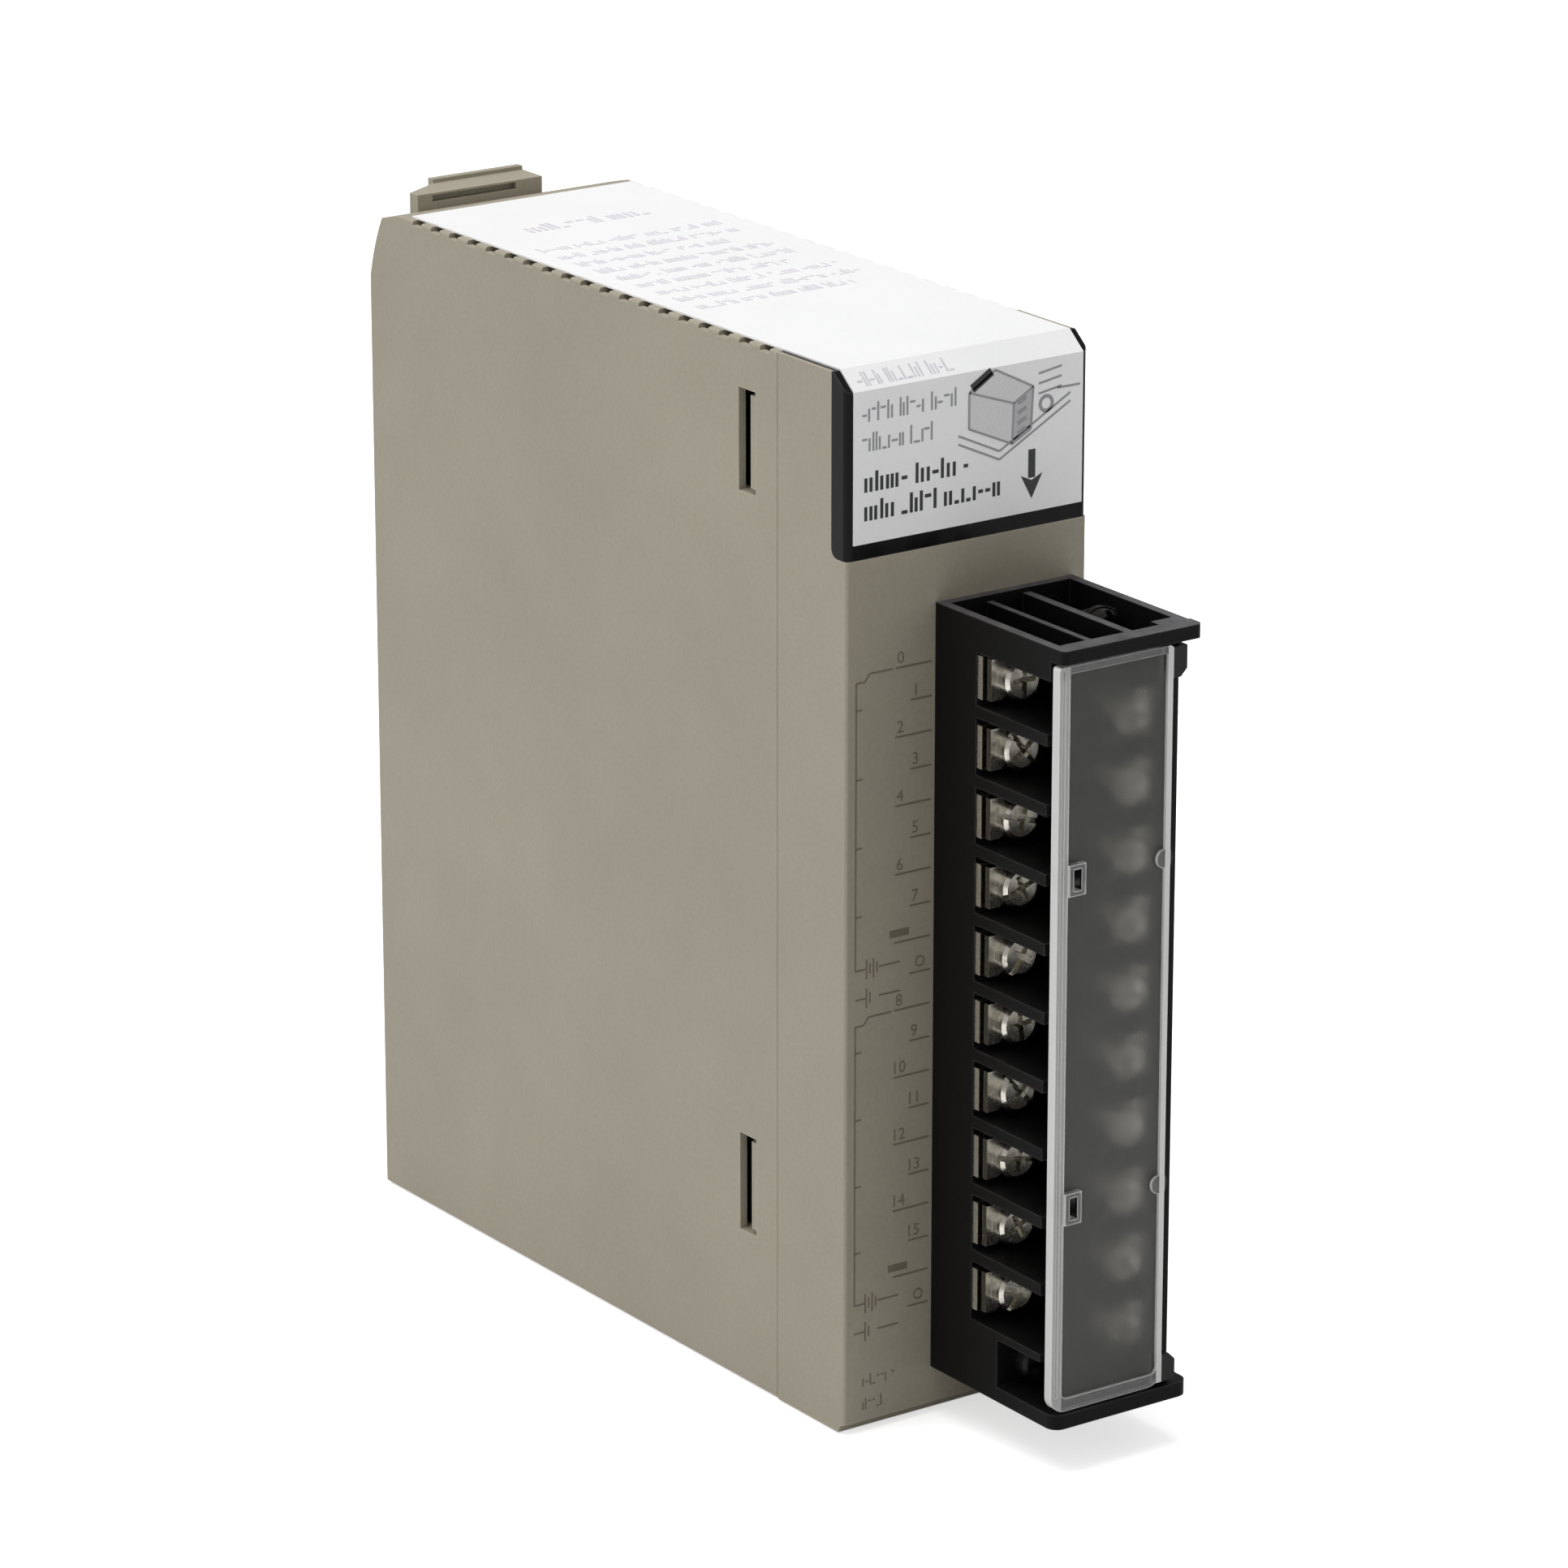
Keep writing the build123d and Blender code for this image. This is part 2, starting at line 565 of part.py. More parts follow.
# ---------------------------------------------------------------- terminal block
# Base: a stepped block. Its left column of terminals is low and its right column stands on a raised tier.
with BuildPart() as terminal_block_base:
    box_between((BLOCK_LEFT, BLOCK_RIGHT), (BLOCK_CORE_Y, FRONT_Y), (BLOCK_BOTTOM, TRAY_FLOOR))
    box_between((TIER_LEFT, BLOCK_RIGHT), (TIER_Y, BLOCK_CORE_Y), (FLANGE_TOP, LEFT_Z[0]))

    # Foot flange, rounded at its front corners
    with BuildSketch(Plane.XY.offset(BLOCK_BOTTOM)) as flange:
        with Locations(((BLOCK_LEFT + 15.5) / 2, (BLOCK_FRONT + FRONT_Y) / 2)):
            Rectangle(15.5 - BLOCK_LEFT, FRONT_Y - BLOCK_FRONT)
        fillet(flange.vertices().group_by(Axis.Y)[0], 1.5)
    extrude(amount=FLANGE_TOP - BLOCK_BOTTOM)

    # Tray on top: floor, rim, two ribs and the front lip, which also carries the upper hinge bore
    box_between((BLOCK_LEFT, POCKET_LEFT), (HINGE_Y, BLOCK_CORE_Y), (TRAY_UNDERSIDE, TRAY_FLOOR))
    box_between((BLOCK_LEFT, BLOCK_LEFT + SIDE_WALL), (HINGE_Y, FRONT_Y), (TRAY_FLOOR, BLOCK_TOP))
    box_between((BLOCK_LEFT, BLOCK_RIGHT), (FRONT_Y - SIDE_WALL, FRONT_Y), (TRAY_FLOOR, BLOCK_TOP))
    box_between((2.0, 2.8), (HINGE_Y, FRONT_Y), (TRAY_FLOOR, BLOCK_TOP - 0.8))
    box_between((POCKET_LEFT - 1.1, POCKET_LEFT), (HINGE_Y, FRONT_Y), (TRAY_FLOOR, BLOCK_TOP - 0.6))
    box_between((POCKET_LEFT - 1.1, POCKET_LEFT), (HINGE_Y, BLOCK_CORE_Y), (LEFT_Z[0], TRAY_FLOOR))
    with BuildSketch(Plane.XY.offset(LIP_UNDERSIDE)) as lip:
        with Locations(((BLOCK_LEFT + 15.5) / 2, (BLOCK_FRONT + HINGE_Y) / 2)):
            Rectangle(15.5 - BLOCK_LEFT, HINGE_Y - BLOCK_FRONT)
        fillet(lip.vertices().group_by(Axis.Y)[0], 0.8)
    extrude(amount=BLOCK_TOP - LIP_UNDERSIDE)
    box_between((11.0, BLOCK_RIGHT), (HINGE_Y, RIGHT_WALL_FRONT), (LIP_UNDERSIDE, BLOCK_TOP))

    # Right wall, and the seat of the upper block screw between two deep wells
    pocket_right = BLOCK_RIGHT - SIDE_WALL
    box_between((pocket_right, BLOCK_RIGHT), (RIGHT_WALL_FRONT, FRONT_Y), (BLOCK_BOTTOM, BLOCK_TOP))
    box_between((POCKET_LEFT, pocket_right), (BLOCK_SCREW_TOP[2], BLOCK_CORE_Y), (LEFT_Z[0], 99.6))
    box_between(
        (POCKET_LEFT, pocket_right),
        (BLOCK_CORE_Y, FRONT_Y - SIDE_WALL),
        (LEFT_Z[0] + BARRIER / 2, TRAY_FLOOR),
        mode=Mode.SUBTRACT,
    )

    # Seat of the lower block screw
    box_between((BLOCK_LEFT, TIER_LEFT), (BLOCK_SCREW_BOTTOM[2], BLOCK_CORE_Y), (FLANGE_TOP, FOOT_SEAT_TOP))

    # Barriers between the terminals of each column, and the wall between the columns
    column_of_boxes((BLOCK_LEFT, TIER_LEFT), (BARRIER_FRONT_LEFT, BLOCK_CORE_Y), RIGHT_Z[:-1], BARRIER)
    lowest_bar = (FOOT_SEAT_TOP, FOOT_SEAT_TOP + 1.0)
    box_between((BLOCK_LEFT, TIER_LEFT), (BARRIER_FRONT_LEFT, BLOCK_CORE_Y), lowest_bar)
    column_of_boxes(
        (TIER_LEFT, BLOCK_RIGHT - SIDE_WALL),
        (BARRIER_FRONT_RIGHT, TIER_Y),
        LEFT_Z + [RIGHT_Z[-1] - TERMINAL_PITCH / 2],
        BARRIER,
    )
    wall = (TIER_LEFT, TIER_LEFT + TIER_WALL)
    box_between(wall, (TIER_WALL_FRONT, TIER_Y), (FLANGE_TOP, LEFT_Z[0]))

    # Slots for the terminals' legs and blind holes for their screws
    for legs, heights, screw_x, face in (
        (LEFT_LEG_X, LEFT_Z, LEFT_X, BLOCK_CORE_Y),
        (RIGHT_LEG_X, RIGHT_Z, RIGHT_X, TIER_Y),
    ):
        slot = (legs[0] - 0.1, legs[1] + 0.1)
        column_of_boxes(slot, (face, FRONT_Y), heights, 2.6, mode=Mode.SUBTRACT)
        column_of_rods(screw_x, heights, (face, face + 6.5), 1.8, mode=Mode.SUBTRACT)

    # Through holes for the block screws, and the hinge bores
    for x, z, seat in (BLOCK_SCREW_TOP, BLOCK_SCREW_BOTTOM):
        rod(x, z, (seat, FRONT_Y), 1.7, mode=Mode.SUBTRACT)
    for floor in (6.5, LIP_UNDERSIDE):
        with Locations((HINGE_X, HINGE_Y, floor)):
            Cylinder(
                HINGE_PIN + HINGE_CLEARANCE,
                1.2,
                align=(Align.CENTER, Align.CENTER, Align.MIN),
                mode=Mode.SUBTRACT,
            )
terminal_block_base.part.label = "terminal_block_base"
export_step(terminal_block_base.part, "parts/terminal_block_base.step")

# Terminals: each an angled plate, tapped for its screw, with a leg that plugs into the block header.
with BuildPart() as terminals_left:
    faces = (BLOCK_CORE_Y - PLATE, BLOCK_CORE_Y)
    column_of_boxes(LEFT_PLATE_X, faces, LEFT_Z, PLATE_HEIGHT)
    column_of_boxes(LEFT_LEG_X, (BLOCK_CORE_Y, LEG_END_Y), LEFT_Z, 2.4)
    column_of_rods(LEFT_X, LEFT_Z, faces, M3_THREAD + 0.05, mode=Mode.SUBTRACT)
terminals_left.part.label = "terminals_left"
export_step(terminals_left.part, "parts/terminals_left.step")

with BuildPart() as terminals_right:
    faces = (TIER_Y - PLATE, TIER_Y)
    column_of_boxes(RIGHT_PLATE_X, faces, RIGHT_Z, PLATE_HEIGHT)
    column_of_boxes(RIGHT_LEG_X, (TIER_Y, LEG_END_Y), RIGHT_Z, 2.4)
    column_of_rods(RIGHT_X, RIGHT_Z, faces, M3_THREAD + 0.05, mode=Mode.SUBTRACT)
terminals_right.part.label = "terminals_right"
export_step(terminals_right.part, "parts/terminals_right.step")

# Terminal screws: each a screw with a captive, waisted pressure plate, shown slightly backed out.
for column, x, face, heights in (
    ("a", LEFT_X, BLOCK_CORE_Y - PLATE, LEFT_Z),
    ("b", RIGHT_X, TIER_Y - PLATE, RIGHT_Z),
):
    for row, z in enumerate(heights):
        plate_width, plate_height, plate_thickness = PRESSURE_PLATE
        plate_back = face - BACK_OUT
        head_back = plate_back - plate_thickness
        head_front = head_back - 1.9
        with BuildPart() as terminal_screw:
            with BuildSketch(Plane(origin=(x, plate_back, z), x_dir=(1, 0, 0), z_dir=(0, -1, 0))):
                Rectangle(plate_width, plate_height)
                with Locations((0, 4.6), (0, -4.6)):
                    Ellipse(2.8, 2.8, mode=Mode.SUBTRACT)
                Circle(1.3 + NECK_CLEARANCE, mode=Mode.SUBTRACT)
            extrude(amount=plate_thickness)
            turned(
                x,
                z,
                [
                    (0, head_front),
                    (2.1, head_front),
                    (2.5, head_front + 0.4),
                    (2.5, head_back),
                    (1.3, head_back),
                    (1.3, plate_back),
                    (M3_THREAD - 0.05, plate_back + 0.15),
                    (M3_THREAD - 0.05, head_back + 6.0),
                    (1.1, head_back + 6.4),
                    (0, head_back + 6.4),
                ],
            )
            cross_and_slot(x, z, head_front, 2.5, SCREW_TURN * (row + TERMINALS * (column == "b")))
        node = f"terminal_screw_{column}{row}"
        terminal_screw.part.label = node
        export_step(terminal_screw.part, f"parts/{node}.step")

# Block screws: captive screws that clamp the block to the front case, each with its own washer.
for end, (x, z, seat) in (("top", BLOCK_SCREW_TOP), ("bottom", BLOCK_SCREW_BOTTOM)):
    head_back = seat - 0.7
    head_front = head_back - 1.9
    with BuildPart() as block_screw:
        turned(
            x,
            z,
            [
                (0, head_front),
                (2.2, head_front),
                (2.6, head_front + 0.4),
                (2.6, head_back),
                (1.25, head_back),
                (1.25, FRONT_Y),
                (M3_THREAD, FRONT_Y),
                (M3_THREAD, -95.9),
                (1.1, -95.5),
                (0, -95.5),
            ],
        )
        cross_and_slot(x, z, head_front, 2.6)
    block_screw.part.label = f"block_screw_{end}"
    export_step(block_screw.part, f"parts/block_screw_{end}.step")

    with BuildPart() as block_screw_washer:
        rod(x, z, (head_back, seat), 2.75)
        rod(x, z, (head_back, seat), 1.25 + NECK_CLEARANCE, mode=Mode.SUBTRACT)
    block_screw_washer.part.label = f"block_screw_washer_{end}"
    export_step(block_screw_washer.part, f"parts/block_screw_washer_{end}.step")

# Threaded inserts in the front case that the block screws run into
with BuildPart() as block_screw_inserts:
    for x, z, seat in (BLOCK_SCREW_TOP, BLOCK_SCREW_BOTTOM):
        rod(x, z, (FRONT_Y + WALL, -94.5), INSERT_RADIUS)
        rod(x, z, (FRONT_Y + WALL, -94.5), M3_THREAD + 0.08, mode=Mode.SUBTRACT)
block_screw_inserts.part.label = "block_screw_inserts"
export_step(block_screw_inserts.part, "parts/block_screw_inserts.step")

# ---------------------------------------------------------------- terminal cover
# Cover: a thin framed panel that swings on two pins at its right edge.
with BuildPart() as terminal_cover:
    frame = cover_outline((COVER_LEFT, COVER_RIGHT), (COVER_BOTTOM, COVER_TOP), COVER_BACK, 0.5, 2.0)
    extrude(frame, amount=COVER_BACK - COVER_RIM_FRONT)
    recess = cover_outline(
        (COVER_LEFT + RIM_LEFT, COVER_RIGHT - RIM_RIGHT),
        (COVER_BOTTOM + RIM_BOTTOM, COVER_TOP - RIM_TOP),
        COVER_PANEL_FRONT,
        0.3,
        0.9,
    )
    extrude(recess, amount=COVER_PANEL_FRONT - COVER_RIM_FRONT, mode=Mode.SUBTRACT)

    # Groove along the free edge's rim
    box_between(
        (COVER_LEFT + 0.5, COVER_LEFT + 0.85),
        (COVER_RIM_FRONT, COVER_RIM_FRONT + 0.3),
        (COVER_BOTTOM + 2.0, COVER_TOP - 0.5),
        mode=Mode.SUBTRACT,
    )

    # Finger tab on the upper edge
    rod(9.2, COVER_TOP - 1.2, (COVER_BACK, COVER_PANEL_FRONT), 1.4)

    # Rimmed slots near the free edge, and matching bumps on the hinge edge
    for low, high in COVER_SLOTS:
        box_between((-3.3, -0.9), (COVER_PANEL_FRONT, BLOCK_FRONT), (low, high))
        box_between((-2.65, -1.55), (COVER_BACK, BLOCK_FRONT), (low + 0.6, high - 0.6), mode=Mode.SUBTRACT)
        rod(COVER_RIGHT - 0.75, (low + high) / 2, (COVER_BACK, COVER_RIM_FRONT), 1.2)

    # Hinge ears, each with one sloped corner, a knuckle and a pin that stands out of it
    for flat_end, sloped_end, knuckle, pin in (
        (8.2, 11.6, (8.6, 10.3), (6.8, 8.6)),
        (98.9, 95.2, (96.2, 98.9), (98.9, 100.4)),
    ):
        slope = 0.9 if sloped_end > flat_end else -0.9
        with BuildSketch(Plane(origin=(0, HINGE_Y - 0.2, 0), x_dir=(1, 0, 0), z_dir=(0, -1, 0))):
            with BuildLine():
                Polyline(
                    (COVER_RIGHT - RIM_RIGHT, flat_end),
                    (EAR_RIGHT, flat_end),
                    (EAR_RIGHT, sloped_end - slope),
                    (EAR_RIGHT - abs(slope), sloped_end),
                    (COVER_RIGHT - RIM_RIGHT, sloped_end),
                    close=True,
                )
            make_face()
        extrude(amount=HINGE_Y - 0.2 - COVER_RIM_FRONT)
        for radius, (low, high) in ((KNUCKLE, knuckle), (HINGE_PIN, pin)):
            with BuildSketch(Plane.XY.offset(low)):
                with Locations((HINGE_X, HINGE_Y)):
                    Circle(radius)
            extrude(amount=high - low)
terminal_cover.part.label = "terminal_cover"
export_step(terminal_cover.part, "parts/terminal_cover.step")
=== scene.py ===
"""Studio scene of a rack-mounted input module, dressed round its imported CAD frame."""

import json
import math
import random

import bmesh
import bpy
from mathutils import Matrix, Vector


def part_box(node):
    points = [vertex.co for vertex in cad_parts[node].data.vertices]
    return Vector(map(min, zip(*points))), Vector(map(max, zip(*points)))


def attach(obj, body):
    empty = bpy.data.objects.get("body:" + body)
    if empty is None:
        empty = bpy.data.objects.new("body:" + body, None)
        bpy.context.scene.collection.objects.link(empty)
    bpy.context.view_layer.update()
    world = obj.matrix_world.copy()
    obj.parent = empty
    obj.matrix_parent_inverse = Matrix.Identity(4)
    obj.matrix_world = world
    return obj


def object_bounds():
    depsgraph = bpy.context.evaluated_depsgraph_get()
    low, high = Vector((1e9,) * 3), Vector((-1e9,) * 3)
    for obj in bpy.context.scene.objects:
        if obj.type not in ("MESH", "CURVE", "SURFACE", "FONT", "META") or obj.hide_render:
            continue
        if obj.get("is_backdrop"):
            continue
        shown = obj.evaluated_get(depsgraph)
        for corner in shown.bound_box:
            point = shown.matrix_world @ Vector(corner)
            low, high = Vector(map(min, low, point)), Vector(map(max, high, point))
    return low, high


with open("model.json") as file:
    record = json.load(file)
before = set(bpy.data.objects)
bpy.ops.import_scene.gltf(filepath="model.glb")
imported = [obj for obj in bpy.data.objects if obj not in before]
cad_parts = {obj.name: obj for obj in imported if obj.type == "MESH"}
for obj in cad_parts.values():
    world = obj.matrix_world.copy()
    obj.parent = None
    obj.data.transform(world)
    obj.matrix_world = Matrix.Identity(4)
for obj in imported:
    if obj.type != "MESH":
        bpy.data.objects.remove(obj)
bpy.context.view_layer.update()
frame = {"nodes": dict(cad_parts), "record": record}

MM = 0.001
INK = 0.03  # how far printed marks stand proud, in millimetres
RNG = random.Random(7)

# Where a Mix node keeps its colour sockets
FIRST_COLOUR, SECOND_COLOUR, MIXED_COLOUR = 6, 7, 2

# ------------------------------------------------------------------ node graphs


class Graph:
    """A short way to write a material's nodes: values and sockets go in by name, a node comes back."""

    def __init__(self, name):
        self.material = bpy.data.materials.new(name)
        self.material.use_nodes = True
        self.nodes = self.material.node_tree.nodes
        self.links = self.material.node_tree.links
        self.nodes.clear()
        self.output = self.nodes.new("ShaderNodeOutputMaterial")

    def add(self, kind, settings=None, **inputs):
        node = self.nodes.new("ShaderNode" + kind)
        for key, value in (settings or {}).items():
            setattr(node, key, value)
        for key, value in inputs.items():
            self.put(node.inputs[key.replace("_", " ")], value)
        return node

    def put(self, socket, value):
        if isinstance(value, bpy.types.NodeSocket):
            self.links.new(value, socket)
        elif isinstance(value, tuple) and len(value) == 3 and socket.type == "RGBA":
            socket.default_value = (*value, 1.0)
        else:
            socket.default_value = value

    def millimetres(self):
        """The piece's own coordinates, in millimetres."""
        place = self.add("TexCoord").outputs["Object"]
        scaled = self.add("VectorMath", {"operation": "SCALE"}, Scale=1000.0)
        self.put(scaled.inputs[0], place)
        return scaled.outputs[0]

    def noise(self, where, scale, detail=3.0, roughness=0.55):
        node = self.add("TexNoise", Vector=where, Scale=scale, Detail=detail, Roughness=roughness)
        return node.outputs["Fac"]

    def maths(self, operation, first, second=None):
        node = self.add("Math", {"operation": operation})
        self.put(node.inputs[0], first)
        if second is not None:
            self.put(node.inputs[1], second)
        return node.outputs[0]

    def distance(self, value, middle):
        """How far a value is from a middle, either way."""
        return self.maths("ABSOLUTE", self.maths("SUBTRACT", value, middle))

    def remap(self, value, low, high, new_low, new_high):
        node = self.add("MapRange", {"clamp": True}, Value=value)
        limits = ("From Min", low), ("From Max", high), ("To Min", new_low), ("To Max", new_high)
        for key, limit in limits:
            node.inputs[key].default_value = limit
        return node.outputs[0]

    def mix(self, factor, first, second, blend="MIX"):
        node = self.add("Mix", {"data_type": "RGBA", "blend_type": blend})
        self.put(node.inputs["Factor"], factor)
        self.put(node.inputs[FIRST_COLOUR], first)
        self.put(node.inputs[SECOND_COLOUR], second)
        return node.outputs[MIXED_COLOUR]

    def blend(self, factor, first, second):
        """One shader fading into another."""
        node = self.add("MixShader", Fac=factor)
        self.links.new(first, node.inputs[1])
        self.links.new(second, node.inputs[2])
        return node.outputs[0]

    def edge(self, radius_mm):
        """Near 1 where the surface turns within a radius, 0 on flat ground."""
        soft = self.add("Bevel", {"samples": 6}, Radius=radius_mm * MM).outputs[0]
        hard = self.add("NewGeometry").outputs["Normal"]
        dot = self.add("VectorMath", {"operation": "DOT_PRODUCT"})
        self.put(dot.inputs[0], soft)
        self.put(dot.inputs[1], hard)
        return self.remap(dot.outputs["Value"], 0.995, 0.80, 0.0, 1.0)

    def facing(self):
        """The surface's direction, as three parts."""
        return self.add("SeparateXYZ", Vector=self.add("NewGeometry").outputs["Normal"]).outputs

    def bump(self, height, distance_mm):
        return self.add("Bump", Height=height, Distance=distance_mm * MM).outputs[0]

    def finish(self, **inputs):
        """Ends the graph in a Principled shader."""
        shader = self.add("BsdfPrincipled", **inputs)
        self.links.new(shader.outputs[0], self.output.inputs["Surface"])
        return self.material


def toned(colour, times, plus=0.0):
    """A colour made lighter or darker."""
    return tuple(min(1.0, c * times + plus) for c in colour)


def moulded_plastic(
    name,
    colour,
    roughness,
    grain_mm=0.35,
    grain_depth=0.012,
    specular=0.4,
    lighter=1.25,
    edge_mm=0.35,
    painted_sheen_above=None,
):
    """Injection-moulded plastic: fine spark texture, faint flow mottling and edges painted lighter as a
    painted highlight.

    Up-facing ground above a given height, in millimetres, is painted a lighter grey: a painted highlight
    for the sheen on top faces.
    """
    g = Graph(name)
    where = g.millimetres()
    flow = g.remap(g.noise(where, 0.035, 4.0), 0.3, 0.7, 0.0, 1.0)
    body = g.mix(flow, toned(colour, 0.95), toned(colour, 1.05))
    specks = g.remap(g.noise(where, 1.8, 2.0), 0.35, 0.65, 0.97, 1.03)
    speckled = g.add("CombineColor", Red=specks, Green=specks, Blue=specks).outputs[0]
    body = g.mix(1.0, body, speckled, "MULTIPLY")
    # Painted highlight: edges within edge_mm are painted lighter, broken up by noise.
    painted_edge_highlight = g.maths("MULTIPLY", g.edge(edge_mm), g.remap(g.noise(where, 0.5, 4.0), 0.35, 0.6, 0.45, 1.0))
    body = g.mix(painted_edge_highlight, body, toned(colour, lighter))
    if painted_sheen_above is not None:
        # Painted highlight: up-facing ground above the given height is painted a lighter grey.
        high_up = g.maths("GREATER_THAN", g.add("SeparateXYZ", Vector=where).outputs[2], painted_sheen_above)
        level = g.maths("MULTIPLY", high_up, g.remap(g.facing()[2], 0.3, 0.9, 0.0, 1.0))
        painted_top_sheen = g.maths("MULTIPLY", level, g.remap(g.noise(where, 0.35, 4.0), 0.3, 0.7, 0.5, 1.0))
        body = g.mix(painted_top_sheen, body, (0.110, 0.108, 0.112))
    rough = g.remap(g.noise(where, 0.12, 3.0), 0.3, 0.7, roughness - 0.05, roughness + 0.06)
    grain = g.bump(g.noise(where, 1.0 / grain_mm, 3.0, 0.6), grain_depth)
    return g.finish(Base_Color=body, Roughness=rough, Normal=grain, Specular_IOR_Level=specular)


def worked_metal(name, colour, stain, roughness, brushed=(1.0, 1.0, 1.0), painted_shade_axis=None):
    """Plated metal: directional brushing, fine scratches and tarnish in patches.

    The flat faces that look down one axis, such as 0 for -X, are painted dark if asked, as painted shade.
    """
    g = Graph(name)
    where = g.millimetres()
    stretched = g.add("VectorMath", {"operation": "MULTIPLY"})
    g.put(stretched.inputs[0], where)
    stretched.inputs[1].default_value = brushed
    lines = g.noise(stretched.outputs[0], 6.0, 4.0, 0.7)
    patches = g.remap(g.noise(where, 0.8, 5.0, 0.65), 0.45, 0.7, 0.0, 0.7)
    body = g.mix(patches, colour, stain)
    if painted_shade_axis is not None:
        # Painted shade: faces looking down the chosen axis are darkened.
        body = g.mix(g.remap(g.facing()[painted_shade_axis], -0.93, -0.99, 0.0, 0.85), body, toned(stain, 0.2))
    # Painted highlight: edges are painted lighter.
    body = g.mix(g.maths("MULTIPLY", g.edge(0.12), 0.5), body, toned(colour, 1.25))
    rough = g.remap(lines, 0.3, 0.7, roughness - 0.07, roughness + 0.08)
    rough = g.maths("ADD", rough, g.maths("MULTIPLY", patches, 0.15))
    return g.finish(Base_Color=body, Metallic=1.0, Roughness=rough, Normal=g.bump(lines, 0.004))


def circuit_board(name):
    """Green solder mask over copper tracks, with bare laminate along the main board's cut edges."""
    board_x, half_thickness = -11.0, 0.78
    g = Graph(name)
    where = g.millimetres()
    tracks = g.add("TexBrick", {"offset": 0.5}, Vector=where, Scale=0.22, Mortar_Size=0.02).outputs["Fac"]
    weave = g.noise(where, 1.4, 2.0)
    body = g.mix(tracks, (0.010, 0.085, 0.040), (0.022, 0.150, 0.070))
    body = g.mix(g.remap(weave, 0.4, 0.6, 0.0, 0.25), body, (0.006, 0.060, 0.030))
    across = g.add("SeparateXYZ", Vector=where).outputs[0]
    masked = g.maths("GREATER_THAN", g.distance(across, board_x), half_thickness)
    body = g.mix(masked, (0.30, 0.28, 0.16), body)
    rough = g.remap(weave, 0.3, 0.7, 0.28, 0.42)
    return g.finish(Base_Color=body, Roughness=rough, Normal=g.bump(tracks, 0.03))


def label_film(name):
    """Coated paper: faint fibre, slightly shiny, greyer where it has been handled."""
    g = Graph(name)
    where = g.millimetres()
    fibre = g.noise(where, 2.6, 4.0, 0.7)
    handled = g.remap(g.noise(where, 0.08, 3.0), 0.35, 0.7, 0.0, 0.35)
    body = g.mix(handled, (0.90, 0.90, 0.90), (0.84, 0.84, 0.85))
    body = g.mix(g.remap(fibre, 0.35, 0.65, 0.0, 0.12), body, (0.70, 0.70, 0.71))
    return g.finish(
        Base_Color=body,
        Roughness=g.remap(fibre, 0.3, 0.7, 0.32, 0.44),
        Normal=g.bump(fibre, 0.004),
        Coat_Weight=0.15,
        Coat_Roughness=0.3,
    )


def printed_ink(name, colour, coverage=0.9):
    """Screen-printed ink, thin in places."""
    g = Graph(name)
    where = g.millimetres()
    thin = g.remap(g.noise(where, 3.5, 3.0), 0.45, 0.75, 0.0, 1.0 - coverage)
    body = g.mix(thin, colour, toned(colour, 1.8, 0.05))
    return g.finish(Base_Color=body, Roughness=g.remap(thin, 0.0, 0.1, 0.45, 0.6))


def smoked_window(name):
    """Dark tinted plastic with a polished face and faint wipe marks."""
    g = Graph(name)
    where = g.millimetres()
    wipes = g.add("TexWave", {"wave_type": "BANDS"}, Vector=where, Scale=0.05, Distortion=6.0, Detail=3.0)
    haze = g.remap(wipes.outputs["Fac"], 0.3, 0.9, 0.0, 1.0)
    rough = g.remap(haze, 0.0, 1.0, 0.16, 0.26)
    body = g.mix(g.maths("MULTIPLY", haze, 0.4), (0.005, 0.005, 0.005), (0.009, 0.009, 0.009))
    # Painted highlight: edges are painted a lighter grey.
    body = g.mix(g.maths("MULTIPLY", g.edge(0.3), 0.6), body, (0.08, 0.08, 0.078))
    waves = g.bump(g.noise(where, 0.4, 2.0), 0.01)
    return g.finish(Base_Color=body, Roughness=rough, Normal=waves, Specular_IOR_Level=0.14)


